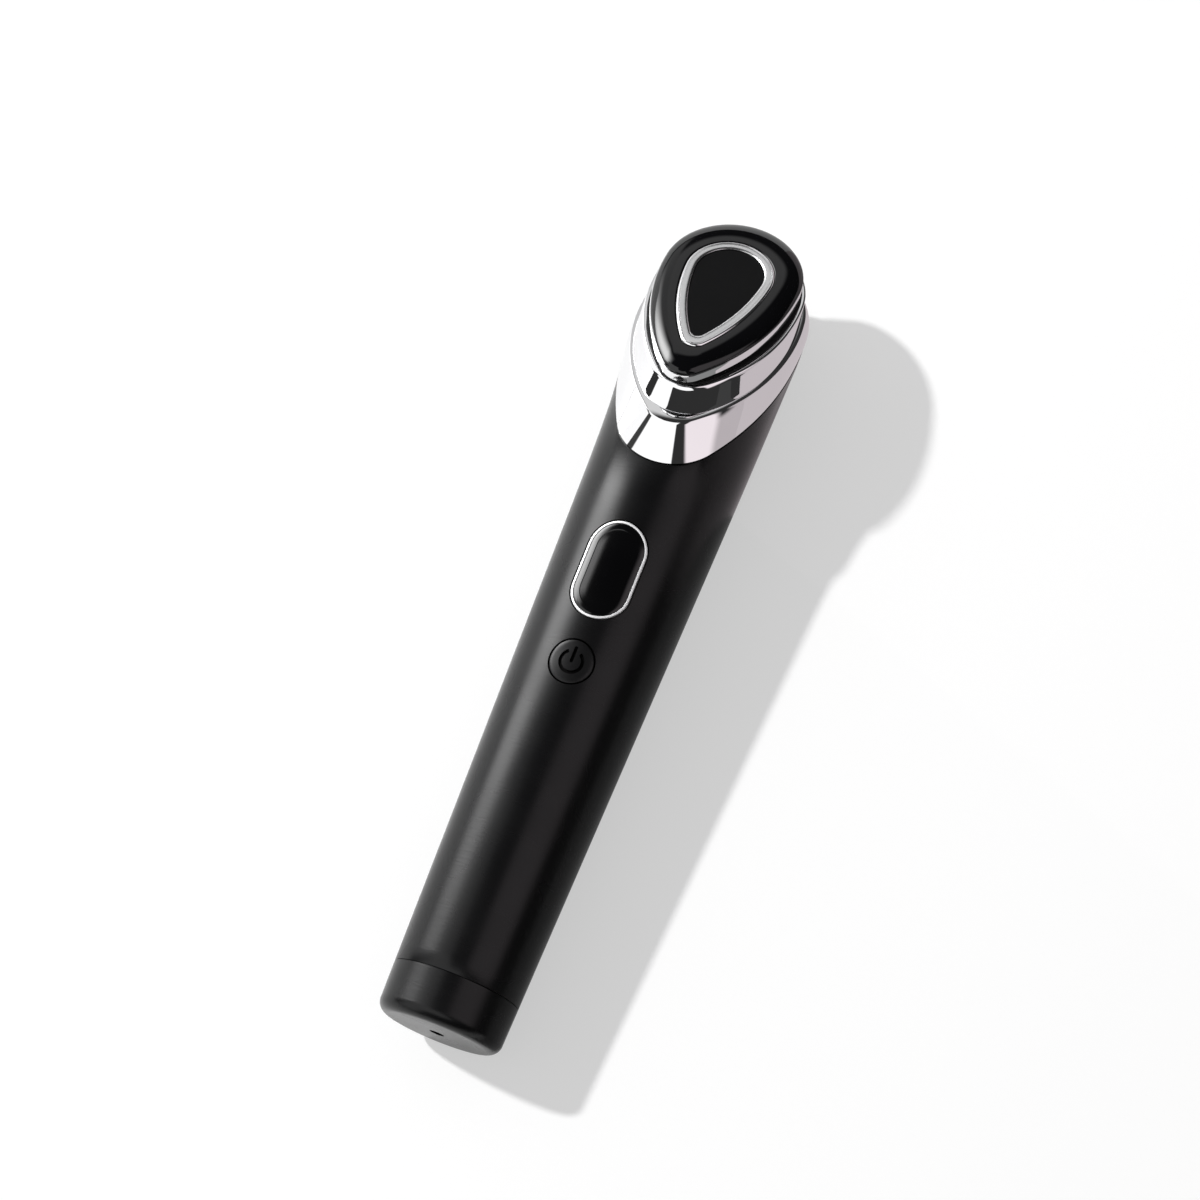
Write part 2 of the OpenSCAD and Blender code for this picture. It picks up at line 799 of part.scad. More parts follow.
module head_screws() {
    color(nickel)
    lay()
    on_face()
    for (s = [-1, 1])
        translate([s * boss_x, boss_s, led_board_z - 1.58]) {
            cylinder(h = 1.3, d = screw_head, $fn = 32);
            translate([0, 0, -7.5])
            cylinder(h = 7.5, d = screw_d, $fn = 32);
        }
}
module rim_electrode() {
    color(silver)
    lay()
    on_face()
    difference() {
        egg_plate(grow(block, rim_out), rim_z, -0.02);
        egg_plate(grow(block, rim_out - rim_band), rim_z - 1, 1);
    }
}
module rim_contacts() {
    color(nickel)
    lay()
    on_face()
    for (s = [-1, 1])
        translate([s * (block_w / 2 - 2.5), block[1], 0]) {
            translate([-1.7, -0.7, step_z + 0.02])
            cube([3.4, 1.4, 0.16]);
            translate([s > 0 ? -1.7 : 1.5, -0.7, reflector_z + 0.02])
            cube([0.2, 1.4, step_z - reflector_z]);
        }
}
module face_block() {
    color(gloss_black)
    lay()
    on_face()
    difference() {
        union() {
            egg_plate(grow(block, rim_out - rim_band - fit_gap), rim_z + 0.1, 0.2);
            // The crown rises in ever flatter steps from the block's edge to the drop
            loft(concat([ring(block, 0), ring(block, 0.3)],
                [for (i = [1 : crown_steps]) let (t = i / crown_steps)
                    ring(mix(block, grow(drop_out, 0.4), t),
                        0.3 + (crown - 0.3) * pow(1 - pow(1 - t, 2.4), 0.8))]));
        }
        egg_plate(grow(drop_out, fit_gap), ledge_z, 5);
        egg_plate(grow(drop_in, -1.2), -5, 5);
        egg_plate(grow(block, -rim_band - 1.2), -5, ledge_z - ledge_t);
        for (s = [-1, 1])
            translate([s * pin_x, pin_s, -5])
            cylinder(h = 8, d = 1 + 2 * fit_gap, $fn = 24);
    }
}
module drop_electrode() {
    color(silver)
    lay()
    on_face()
    difference() {
        loft([ring(drop_out, ledge_z + 0.02), ring(drop_out, crown),
            ring(grow(drop_out, -drop_proud), crown + drop_proud)]);
        egg_plate(drop_in, -5, 5);
    }
}
module drop_contacts() {
    color(nickel)
    lay()
    on_face()
    for (s = [-1, 1])
        translate([s * pin_x, pin_s, reflector_z + 0.02])
        cylinder(h = ledge_z - reflector_z - 0.02, d = 1, $fn = 24);
}
module face_lens() {
    color("#131315")
    lay()
    on_face()
    egg_plate(grow(drop_in, -fit_gap), ledge_z + 0.02, crown - 0.2);
}
module light_diffuser() {
    color("#e8e8e4")
    lay()
    on_face()
    egg_plate(grow(drop_in, 0.2), ledge_z - ledge_t - 0.03 - diffuser_t, ledge_z - ledge_t - 0.03);
}
module light_reflector() {
    color("#f2f2ee")
    lay()
    on_face()
    difference() {
        egg_plate(grow(block, -4.7), reflector_z + 0.03, ledge_z - ledge_t - 0.06 - diffuser_t);
        egg_plate(grow(drop_in, -0.6), -6, 3);
        for (s = [-1, 1])
            translate([s * pin_x, pin_s, -6])
            cylinder(h = 8, d = 1 + 2 * fit_gap, $fn = 24);
    }
}
module led_board() {
    color(board_green)
    lay()
    on_face()
    egg_plate(grow(pocket, -fit_gap), led_board_z, led_board_z + led_board_t);
}
module leds() {
    color("#f4ead0")
    lay()
    on_face()
    for (row = led_rows, x = row[1])
        translate([x - led_w / 2, row[0] - led_w / 2, reflector_z + 0.02])
        cube([led_w, led_w, 0.8]);
}
module motor_body() {
    color(nickel)
    lay()
    difference() {
        translate([0, motor_y, motor_z])
        cylinder(h = motor_len, d = motor_d);
        translate([0, motor_y, motor_z + 2])
        cylinder(h = motor_len, d = shaft_d + 2 * shaft_gap);
    }
}
module motor_sleeve() {
    color("#3c3c40")
    lay()
    difference() {
        translate([0, motor_y, motor_z - 0.8])
        cylinder(h = motor_len - 0.4, d = boot_d);
        translate([0, motor_y, motor_z - 0.02])
        cylinder(h = motor_len, d = motor_d + 0.04);
    }
}
// A half-round weight on the shaft
module motor_weight() {
    color("#7d7f84")
    lay()
    translate([0, motor_y, motor_z])
    union() {
        translate([0, 0, 3])
        cylinder(h = motor_len - 3 + weight_gap + weight_h, d = shaft_d);
        translate([0, 0, motor_len + weight_gap])
        intersection() {
            cylinder(h = weight_h, d = motor_d);
            translate([-5, -0.9, 0])
            cube([10, 10, weight_h]);
        }
    }
}
module motor_bracket() {
    color("#3a3b3f")
    lay()
    difference() {
        intersection() {
            wand(motor_z - 3, -wall - fit_gap);
            union() {
                for (z = [motor_z + 1, motor_z + motor_len - 4])
                    translate([-20, motor_y - boot_d / 2 - 1.6, z])
                    cube([40, 40, 1.8]);
                translate([-7, motor_y - boot_d / 2 - 1.6, motor_z + 1])
                cube([14, 1.4, motor_len - 3.2]);
            }
            cut_slab(-60, -5.3);
        }
        translate([0, motor_y, motor_z - 5])
        cylinder(h = 40, d = boot_d + 0.1);
    }
}
// Flat cable from the board's socket, up the neck and in behind the face
module head_ribbon() {
    h = connector_z + 2.1;
    end_y = face_y + cos(face_tilt) * (led_board_z - 0.05) - sin(face_tilt) * -14;
    end_z = face_z + sin(face_tilt) * (led_board_z - 0.05) + cos(face_tilt) * -14;
    in_y = end_y - cos(face_tilt) * 5;
    in_z = end_z - sin(face_tilt) * 5;
    route = [[board_y + 1.1, h], [board_y + 1.1, h + 8], [board_y + 1.6, h + 14],
        [in_y - 1.6, in_z - 2.5], [in_y, in_z], [end_y, end_z]];
    color("#c9b26a")
    lay()
    translate([-ribbon_w / 2, 0, 0])
    for (i = [0 : len(route) - 2])
        let (a = route[i], b = route[i + 1], d = b - a, l = norm(d))
        translate([0, -a[0], a[1]])
        rotate([90 - atan2(d[1], d[0]) + 0, 0, 0])
        translate([0, -ribbon_t / 2, 0])
        cube([ribbon_w, ribbon_t, l]);
}

handle_shell();
end_cap();
charge_jack();
jack_sleeve();
jack_pin();
charge_board();
chassis();
main_board();
board_parts();
board_screws();
battery();
battery_tabs();
buzzer();
power_button();
button_switch();
switch_plunger();
display_lens();
display_trim();
display_module();
display_baffle();
chrome_collar();
neck_frame();
head_bezel();
head_carrier();
head_screws();
rim_electrode();
rim_contacts();
face_block();
drop_electrode();
drop_contacts();
face_lens();
light_diffuser();
light_reflector();
led_board();
leds();
motor_body();
motor_sleeve();
motor_weight();
motor_bracket();
head_ribbon();
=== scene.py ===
"""Looks of a hand-held LED facial massager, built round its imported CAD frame.

The wand lies on its back line: tail toward -Y, head toward +Y, button and face
up. Sizes are in millimetres in the standing frame of the wand (axis along +Z,
button toward -Y) and pass through lay() on their way to Blender's metres. The
studio's own places are in metres of the lying frame.
"""

import json
import logging
import math
from dataclasses import dataclass, field, replace
from enum import Enum
from typing import Callable, Iterable, Optional, Sequence

import bmesh
import bpy
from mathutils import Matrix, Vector


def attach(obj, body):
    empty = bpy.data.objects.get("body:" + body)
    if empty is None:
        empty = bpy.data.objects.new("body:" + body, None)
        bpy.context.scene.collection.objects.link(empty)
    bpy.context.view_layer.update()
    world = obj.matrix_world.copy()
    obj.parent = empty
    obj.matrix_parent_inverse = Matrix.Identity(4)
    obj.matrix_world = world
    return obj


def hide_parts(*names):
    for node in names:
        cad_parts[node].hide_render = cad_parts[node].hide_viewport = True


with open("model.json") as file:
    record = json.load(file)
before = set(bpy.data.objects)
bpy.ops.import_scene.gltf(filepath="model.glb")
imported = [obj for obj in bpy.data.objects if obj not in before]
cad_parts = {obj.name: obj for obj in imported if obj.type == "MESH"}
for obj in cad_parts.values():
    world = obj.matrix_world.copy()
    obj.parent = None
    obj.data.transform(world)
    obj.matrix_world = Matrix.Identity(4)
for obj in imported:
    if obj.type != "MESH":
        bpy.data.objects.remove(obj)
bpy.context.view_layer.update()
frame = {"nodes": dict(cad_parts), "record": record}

log = logging.getLogger("wand")
MM = 0.001
TAPER = math.radians(1.41)
TAIL_R = 12.45
MID_Y = 86.2254
DOME_START, DOME_TOP, DOME_POWER = 150.0, 169.0, 2.6
FACE_Y, FACE_Z, TILT = 13.4, 158.8, math.radians(22)
CUT_H, CUT_GAP = 13.8, 0.25

Pair = tuple[float, float]
Ring = list[Vector]


def lay(x: float, y: float, z: float) -> Vector:
    """Turn a point of the standing wand, in mm, into the lying frame, in metres."""
    s, c = math.sin(TAPER), math.cos(TAPER)
    return Vector((x, y * s + z * c - MID_Y, -y * c + z * s + TAIL_R * c)) * MM


def on_face(x: float, up: float, out: float) -> Vector:
    """Place a point given square to the tilted face, in mm, in the lying frame."""
    s, c = math.sin(TILT), math.cos(TILT)
    return lay(x, -(FACE_Y + out * c - up * s), FACE_Z + out * s + up * c)


def cone_r(z: float) -> float:
    """Give the handle's radius at a height, in mm."""
    return TAIL_R + z * math.tan(TAPER)


def round_r(z: float, inset: float = 0.0) -> float:
    """Give the round body's radius at a height, the rounded back of the head included.

    Args:
        z: Height above the tail, in mm.
        inset: How far inside the outer surface, in mm.

    Returns:
        The radius in mm, at least 0.
    """
    if z <= DOME_START:
        return cone_r(z) - inset
    u = min(1.0, (z - DOME_START) / (DOME_TOP - DOME_START - inset))
    return (cone_r(DOME_START) - inset) * max(0.0, 1 - u**DOME_POWER) ** (1 / DOME_POWER)


@dataclass(frozen=True)
class Drop:
    """A drop outline: a large top arc, a small tip arc and two flank arcs, in mm."""

    top_r: float
    top_y: float
    tip_r: float
    tip_y: float
    side_r: float

    @classmethod
    def sized(cls, width: float, top: float, tip: float, tip_r: float, side_r: float) -> "Drop":
        """Make a drop from its width, its top and tip heights and its two radii."""
        return cls(width / 2, top - width / 2, tip_r, tip_r - tip, side_r)

    def grown(self, d: float) -> "Drop":
        """Give the outline that lies d outside this one."""
        return Drop(self.top_r + d, self.top_y, self.tip_r + d, self.tip_y, self.side_r + d)

    def mixed(self, other: "Drop", t: float) -> "Drop":
        """Give the outline a share t of the way to another."""
        a, b = self.values(), other.values()
        return Drop(*[p * (1 - t) + q * t for p, q in zip(a, b)])

    def values(self) -> tuple[float, ...]:
        """List the five sizes."""
        return (self.top_r, self.top_y, self.tip_r, self.tip_y, self.side_r)

    def flanks(self) -> Pair:
        """Find how far aside and how high the flank arcs' centres lie.

        Returns:
            The distance aside and the height, in mm.
        """
        a, b = self.side_r - self.top_r, self.side_r - self.tip_r
        y = (self.top_y**2 - self.tip_y**2 - a * a + b * b) / (2 * (self.top_y - self.tip_y))
        return math.sqrt(a * a - (y - self.top_y) ** 2), y

    def points(self) -> list[Pair]:
        """List matching points round the outline, anticlockwise from the right flank.

        Returns:
            As many points for every drop, in mm.
        """
        x, y = self.flanks()
        hi = math.atan2(self.top_y - y, x)
        lo = math.atan2(self.tip_y - y, x)
        full = math.pi

        def arc(cx: float, cy: float, r: float, a0: float, a1: float, n: int) -> list:
            """Step along one arc, its last point left to the next."""
            turn = [a0 + (a1 - a0) * i / n for i in range(n)]
            return [(cx + r * math.cos(t), cy + r * math.sin(t)) for t in turn]

        return (
            arc(-x, y, self.side_r, lo, hi, 36)
            + arc(0, self.top_y, self.top_r, hi, full - hi, 84)
            + arc(x, y, self.side_r, full - hi, full - lo, 36)
            + arc(0, self.tip_y, self.tip_r, full - lo, 2 * full + lo, 60)
        )

    def holds(self, x: float, y: float) -> bool:
        """Tell whether a point lies within the outline.

        Args:
            x: How far aside it lies, in mm.
            y: How high it lies, in mm.

        Returns:
            Whether it is inside.
        """
        fx, fy = self.flanks()
        hi = fy + self.side_r * (self.top_y - fy) / (self.side_r - self.top_r)
        lo = fy + self.side_r * (self.tip_y - fy) / (self.side_r - self.tip_r)
        if y > hi:
            return math.hypot(x, y - self.top_y) < self.top_r
        if y < lo:
            return math.hypot(x, y - self.tip_y) < self.tip_r
        return math.hypot(abs(x) + fx, y - fy) < self.side_r


BLOCK = Drop.sized(27.8, 15, 28.2, 4.7, 40)
DROP_OUT = Drop.sized(17.9, 8.2, 21.9, 2.9, 38)
DROP_IN = Drop.sized(13.9, 6.2, 19.1, 1.5, 38)
BEZEL_TOP = Drop.sized(30.3, 15.4, 27.9, 7.7, 34.4)
BEZEL_BASE = Drop.sized(29.9, 14.2, 31.0, 9.5, 33.4)
COLLAR_EDGE = Drop.sized(31.8, 15.05, 33.6, 6.9, 37)
BELLY = Drop.sized(33.5, 15.9, 36.4, 9.2, 48)
CUT_LINE = Drop.sized(32.6, 15.5, 39.8, 11, 58)
CROWN = 1.9


# Materials

# Width of the slow change of sheen and of a board's copper fields, in mm
SHEEN_MM, FIELD_MM = 14, 2.2
# Nearly all of the noise lies between these two values
NOISE_LOW, NOISE_HIGH = 0.3, 0.7


def linear(hex_colour: str) -> tuple[float, float, float, float]:
    """Turn an sRGB hex colour into Blender's linear RGBA.

    Args:
        hex_colour: Six hex digits after a hash.

    Returns:
        Red, green, blue and alpha.
    """
    parts = [int(hex_colour.lstrip("#")[i : i + 2], 16) / 255 for i in (0, 2, 4)]
    low = [p / 12.92 if p <= 0.04045 else ((p + 0.055) / 1.055) ** 2.4 for p in parts]
    return (low[0], low[1], low[2], 1.0)


def add_node(
    tree: bpy.types.NodeTree,
    kind: str,
    values: Optional[dict] = None,
    links: Optional[dict] = None,
    **settings: object,
) -> bpy.types.Node:
    """Add a node with its settings, its plain input values and its incoming links.

    Args:
        tree: The node tree to add to.
        kind: Blender's name for the node's class, such as ShaderNodeTexNoise.
        values: Input name or number to plain value.
        links: Input name or number to the output socket that feeds it.
        **settings: Attributes of the node itself.

    Returns:
        The new node.
    """
    node = tree.nodes.new(kind)
    for name, value in settings.items():
        setattr(node, name, value)
    for key, value in (values or {}).items():
        node.inputs[key].default_value = value
    for key, socket in (links or {}).items():
        tree.links.new(socket, node.inputs[key])
    return node


class Pattern(Enum):
    """How a finish varies over its surface."""

    FINE_GRAIN = "fine grain"
    TURNED = "turned"
    POLISHED = "polished"
    BRUSHED = "brushed"
    MASKED = "masked"
    PLAIN_MOULD = "plain mould"


# Turned and brushed grain is drawn out along these axes of the noise
STRETCH = {Pattern.TURNED: (0.12, 1.0, 0.12), Pattern.BRUSHED: (0.06, 1.0, 1.0)}


@dataclass(frozen=True)
class Finish:
    """One material: what it is made of and how its surface was made."""

    name: str
    colour: str
    second: str
    pattern: Pattern
    roughness: float
    spread: float
    grain_mm: float
    depth_mm: float
    metallic: float = 0.0
    ior: float = 1.5

    def build(self) -> bpy.types.Material:
        """Make the node material for this finish.

        Returns:
            The Blender material.
        """
        material = bpy.data.materials.new(self.name)
        material.use_nodes = True
        tree = material.node_tree
        tree.nodes.clear()
        place = add_node(tree, "ShaderNodeTexCoord")
        mapped = add_node(
            tree,
            "ShaderNodeMapping",
            {"Scale": STRETCH.get(self.pattern, (1.0, 1.0, 1.0))},
            {"Vector": place.outputs["Object"]},
        )
        fine = add_node(
            tree,
            "ShaderNodeTexNoise",
            {"Scale": 1 / (self.grain_mm * MM), "Detail": 3.0, "Roughness": 0.55},
            {"Vector": mapped.outputs["Vector"]},
        )
        # Handling and moulding leave a slow change of sheen
        slow = add_node(
            tree,
            "ShaderNodeTexNoise",
            {"Scale": 1 / (SHEEN_MM * MM), "Detail": 2.0},
            {"Vector": place.outputs["Object"]},
        )
        source = slow if self.pattern is Pattern.POLISHED else fine
        if self.pattern is Pattern.MASKED:
            source = add_node(
                tree,
                "ShaderNodeTexVoronoi",
                {"Scale": 1 / (FIELD_MM * MM)},
                {"Vector": mapped.outputs["Vector"]},
                feature="DISTANCE_TO_EDGE",
            )
        tint = add_node(tree, "ShaderNodeValToRGB", links={"Fac": source.outputs[0]})
        stops = ((NOISE_LOW, self.colour), (NOISE_HIGH, self.second))
        for stop, (position, colour) in zip(tint.color_ramp.elements, stops):
            stop.position = position
            stop.color = linear(colour)
        rough = add_node(
            tree,
            "ShaderNodeMapRange",
            {
                "From Min": NOISE_LOW,
                "From Max": NOISE_HIGH,
                "To Min": max(0.0, self.roughness - self.spread),
                "To Max": self.roughness + self.spread,
            },
            {"Value": slow.outputs["Fac"]},
        )
        bump = add_node(
            tree,
            "ShaderNodeBump",
            {"Strength": 1.0, "Distance": self.depth_mm * MM},
            {"Height": fine.outputs["Fac"]},
        )
        shader = add_node(
            tree,
            "ShaderNodeBsdfPrincipled",
            {"Metallic": self.metallic, "IOR": self.ior},
            {
                "Base Color": tint.outputs["Color"],
                "Roughness": rough.outputs["Result"],
                "Normal": bump.outputs["Normal"],
            },
        )
        add_node(tree, "ShaderNodeOutputMaterial", links={"Surface": shader.outputs[0]})
        return material


# ABS under a fine matt paint: soft wide highlights, deep black, a faint grain
MATT_PAINT = Finish(
    "abs_matt_painted_black", "#0b0b0c", "#0e0e0f", Pattern.TURNED,
    roughness=0.27, spread=0.03, grain_mm=0.35, depth_mm=0.010, ior=1.35,
)
# The same paint on the button, a touch coarser
BUTTON_PAINT = Finish(
    "abs_matt_painted_button", "#0e0e0f", "#121213", Pattern.FINE_GRAIN,
    roughness=0.3, spread=0.03, grain_mm=0.3, depth_mm=0.008, ior=1.35,
)
# PMMA moulded black and polished: sharp reflections on deep black
GLOSS_ACRYLIC = Finish(
    "acrylic_polished_black", "#050506", "#08080a", Pattern.POLISHED,
    roughness=0.05, spread=0.015, grain_mm=0.6, depth_mm=0.0004, ior=1.49,
)
# PMMA lens, fine etched so that the lights behind it stay hidden when off
ETCHED_LENS = Finish(
    "acrylic_etched_black", "#050506", "#070708", Pattern.FINE_GRAIN,
    roughness=0.3, spread=0.03, grain_mm=0.2, depth_mm=0.001, ior=1.22,
)
# ABS plated with bright chromium: a mirror with the slightest orange peel
BRIGHT_CHROME = Finish(
    "abs_bright_chrome", "#f1f1f2", "#f4f4f5", Pattern.POLISHED,
    roughness=0.03, spread=0.01, grain_mm=3.0, depth_mm=0.0006, metallic=1.0,
)
# Zinc with a satin chromium plating: bright and soft
SATIN_CHROME = Finish(
    "zinc_satin_chrome", "#e4e4e5", "#ebebec", Pattern.BRUSHED,
    roughness=0.22, spread=0.03, grain_mm=0.12, depth_mm=0.0012, metallic=1.0,
)
# The window's trim: silver lacquer under a clear one, pale and even all round
SILVER_LACQUER = Finish(
    "abs_silver_lacquer", "#f6f6f7", "#fafafb", Pattern.FINE_GRAIN,
    roughness=0.4, spread=0.03, grain_mm=0.15, depth_mm=0.0006, metallic=0.4,
)
# The window's lens: smoked PMMA with a hard-coat, deep black with calm reflections
SMOKED_LENS = Finish(
    "acrylic_smoked_window", "#040405", "#060607", Pattern.POLISHED,
    roughness=0.1, spread=0.02, grain_mm=0.4, depth_mm=0.0003, ior=1.5,
)
# Walls of narrow recesses: painted shade, near black and almost without gloss, for the shade that
# fills them
RECESS_SHADE = Finish(
    "abs_recess_painted_shade", "#050505", "#070707", Pattern.PLAIN_MOULD,
    roughness=0.7, spread=0.05, grain_mm=0.4, depth_mm=0.002, ior=1.12,
)
# Glass-filled nylon inside the head: dull and dark
DARK_NYLON = Finish(
    "nylon_moulded_dark", "#0c0c0d", "#131314", Pattern.PLAIN_MOULD,
    roughness=0.6, spread=0.05, grain_mm=0.4, depth_mm=0.004,
)
# ABS straight from the mould: mid grey and half dull
CHASSIS_ABS = Finish(
    "abs_moulded_charcoal", "#37383c", "#3f4044", Pattern.PLAIN_MOULD,
    roughness=0.5, spread=0.05, grain_mm=0.5, depth_mm=0.004,
)
# Brass with a nickel plating, a warm soft metal
NICKEL = Finish(
    "brass_nickel_plated", "#b7b3a8", "#c4c1b6", Pattern.BRUSHED,
    roughness=0.22, spread=0.05, grain_mm=0.2, depth_mm=0.001, metallic=1.0,
)
# Fibreglass under green solder mask, darker along the lines between its copper fields
SOLDER_MASK = Finish(
    "fibreglass_solder_mask", "#0f3f24", "#1b5f39", Pattern.MASKED,
    roughness=0.32, spread=0.05, grain_mm=0.3, depth_mm=0.003,
)
# Epoxy moulded round chips: near black and dull
CHIPS = Finish(
    "epoxy_moulded_chip", "#1d1d1f", "#28282a", Pattern.FINE_GRAIN,
    roughness=0.55, spread=0.05, grain_mm=0.25, depth_mm=0.004,
)
# PVC shrunk round the cell: blue with a soft gloss
CELL_SLEEVE = Finish(
    "pvc_shrink_sleeve_blue", "#244f80", "#2d5f97", Pattern.PLAIN_MOULD,
    roughness=0.28, spread=0.06, grain_mm=1.5, depth_mm=0.01,
)
# Opal polycarbonate, which spreads light: white and half dull
WHITE_PC = Finish(
    "polycarbonate_opal", "#e7e7e2", "#f0f0ec", Pattern.PLAIN_MOULD,
    roughness=0.45, spread=0.05, grain_mm=0.5, depth_mm=0.003,
)
# Silicone with phosphor over the lights: pale yellow and smooth
PHOSPHOR = Finish(
    "silicone_phosphor", "#e9d79a", "#f3e6b8", Pattern.FINE_GRAIN,
    roughness=0.3, spread=0.04, grain_mm=0.2, depth_mm=0.004,
)
# Silicone rubber: grey and dull
GREY_SILICONE = Finish(
    "silicone_rubber_grey", "#434347", "#4b4b4f", Pattern.PLAIN_MOULD,
    roughness=0.7, spread=0.05, grain_mm=0.4, depth_mm=0.006,
)
# Sintered tungsten alloy: a grey, grainy metal
TUNGSTEN = Finish(
    "tungsten_sintered", "#73757a", "#85878c", Pattern.FINE_GRAIN,
    roughness=0.45, spread=0.06, grain_mm=0.15, depth_mm=0.004, metallic=1.0,
)
# Polyimide film over copper: amber, darker along thin lines, with a soft gloss
POLYIMIDE = Finish(
    "polyimide_film_amber", "#a97424", "#be8a33", Pattern.MASKED,
    roughness=0.25, spread=0.05, grain_mm=0.9, depth_mm=0.003,
)

SLOT_FINISH: dict[str, Finish] = {
    "satin_black": MATT_PAINT,
    "button_black": BUTTON_PAINT,
    "gloss_black": GLOSS_ACRYLIC,
    "lens_black": ETCHED_LENS,
    "groove_black": DARK_NYLON,
    "chrome": BRIGHT_CHROME,
    "rim_silver": BRIGHT_CHROME,
    "brushed_silver": SATIN_CHROME,
    "nickel": NICKEL,
    "board_green": SOLDER_MASK,
    "components": CHIPS,
    "cell_wrap": CELL_SLEEVE,
    "dark_plastic": CHASSIS_ABS,
    "white_plastic": WHITE_PC,
    "led_yellow": PHOSPHOR,
    "soft_grey": GREY_SILICONE,
    "dense_steel": TUNGSTEN,
    "ribbon_amber": POLYIMIDE,
}


class Paints:
    """Keeps one built material for each finish."""

    def __init__(self) -> None:
        """Start with nothing built."""
        self.built: dict[str, bpy.types.Material] = {}

    def get(self, finish: Finish) -> bpy.types.Material:
        """Build a finish once and hand it out.

        Args:
            finish: The finish asked for.

        Returns:
            Its material.
        """
        if finish.name not in self.built:
            self.built[finish.name] = finish.build()
        return self.built[finish.name]


PAINTS = Paints()


# Meshes


@dataclass
class Skin:
    """A mesh under construction from rings of points."""

    verts: list[Vector] = field(default_factory=list)
    faces: list[tuple[int, ...]] = field(default_factory=list)
    around: int = 0

    def ring(self, points: Iterable[Vector]) -> list[int]:
        """Add a ring of points and give their numbers.

        Args:
            points: The points in order.

        Returns:
            Their numbers in the mesh.
        """
        start = len(self.verts)
        self.verts.extend(points)
        return list(range(start, len(self.verts)))

    def bridge(self, a: Sequence[int], b: Sequence[int]) -> None:
        """Close the band between two rings of equally many points.

        Args:
            a: The first ring's numbers.
            b: The second ring's numbers.
        """
        n = self.around = len(a)
        for i in range(n):
            j = (i + 1) % n
            self.faces.append((a[i], a[j], b[j], b[i]))

    def loft(self, rings: Iterable[Iterable[Vector]], lids: bool = True) -> None:
        """Skin a run of rings from first to last.

        Args:
            rings: The rings, each with as many points as the others.
            lids: Whether to close both ends with a face.
        """
        numbered = [self.ring(r) for r in rings]
        for a, b in zip(numbered, numbered[1:]):
            self.bridge(a, b)
        if lids:
            self.faces.append(tuple(reversed(numbered[0])))
            self.faces.append(tuple(numbered[-1]))

    def tube(self, rings: Iterable[Iterable[Vector]]) -> None:
        """Skin rings that come back to the first, as round a hollow piece.

        Args:
            rings: The rings, each with as many points as the others.
        """
        numbered = [self.ring(r) for r in rings]
        for a, b in zip(numbered, numbered[1:] + numbered[:1]):
            self.bridge(a, b)

    def grid(self, rows: Sequence[Iterable[Vector]]) -> None:
        """Skin an open sheet from rows of equally many points.

        Args:
            rows: The rows in order.
        """
        cols = len([self.ring(row) for row in rows][0]) - 1
        for j in range(len(rows) - 1):
            for i in range(cols):
                a = j * (cols + 1) + i
                self.faces.append((a, a + 1, a + cols + 2, a + cols + 1))

    def piece(
        self, name: str, finish: Finish, sharp: float = 32.0, bands: Optional[dict] = None
    ) -> bpy.types.Object:
        """Turn the skin into an object.

        Args:
            name: The object's name.
            finish: The material it wears.
            sharp: Edges that turn by more than this many degrees stay crisp.
            bands: Other finishes, each with the first and last ring it runs between.

        Returns:
            The new object, linked to the scene.
        """
        mesh = bpy.data.meshes.new(name)
        mesh.from_pydata([tuple(v) for v in self.verts], [], self.faces)
        obj = bpy.data.objects.new(name, mesh)
        bpy.context.scene.collection.objects.link(obj)
        mesh.materials.append(PAINTS.get(finish))
        for other, (first, last) in (bands or {}).items():
            mesh.materials.append(PAINTS.get(other))
            for face in mesh.polygons[first * self.around : last * self.around]:
                face.material_index = len(mesh.materials) - 1
        tidy(obj, sharp)
        return obj


def tidy(obj: bpy.types.Object, sharp: float) -> None:
    """Point the faces outward, shade them smooth and keep sharp edges crisp.

    Args:
        obj: The object whose mesh is tidied.
        sharp: The angle in degrees from which an edge is crisp.
    """
    work = bmesh.new()
    work.from_mesh(obj.data)
    bmesh.ops.recalc_face_normals(work, faces=work.faces)
    for face in work.faces:
        face.smooth = True
    limit = math.radians(sharp)
    for edge in work.edges:
        edge.smooth = len(edge.link_faces) == 2 and edge.calc_face_angle(0) < limit
    work.to_mesh(obj.data)
    work.free()


def carve(obj: bpy.types.Object, cutters: Sequence[bpy.types.Object], sharp: float) -> None:
    """Cut the cutters out of an object for good and remove them.

    Args:
        obj: The object to cut.
        cutters: Closed meshes.
        sharp: The angle in degrees from which an edge is crisp.
    """
    for cutter in cutters:
        modifier = obj.modifiers.new("cut", "BOOLEAN")
        modifier.object = cutter
        modifier.operation = "DIFFERENCE"
        modifier.solver = "EXACT"
        modifier.material_mode = "TRANSFER"
    graph = bpy.context.evaluated_depsgraph_get()
    cut = bpy.data.meshes.new_from_object(obj.evaluated_get(graph))
    obj.modifiers.clear()
    obj.data = cut
    for cutter in cutters:
        bpy.data.objects.remove(cutter)
    tidy(obj, sharp)


def dress(obj: bpy.types.Object, slot: str, *nodes: str, body: str = "wand") -> bpy.types.Object:
    """Put a piece on its body and let it stand for its CAD nodes.

    Args:
        obj: The piece.
        slot: The material slot it goes under; not used.
        *nodes: The CAD nodes it replaces.
        body: The body it moves with.

    Returns:
        The same piece.
    """
    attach(obj, body)
    if nodes:
        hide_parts(*nodes)
    log.info("%s: %d faces for %s", obj.name, len(obj.data.polygons), ", ".join(nodes))
    return obj


def face_ring(outline: Drop, out: float) -> Ring:
    """Give an outline's points at a height over the face."""
    return [on_face(x, y, out) for x, y in outline.points()]


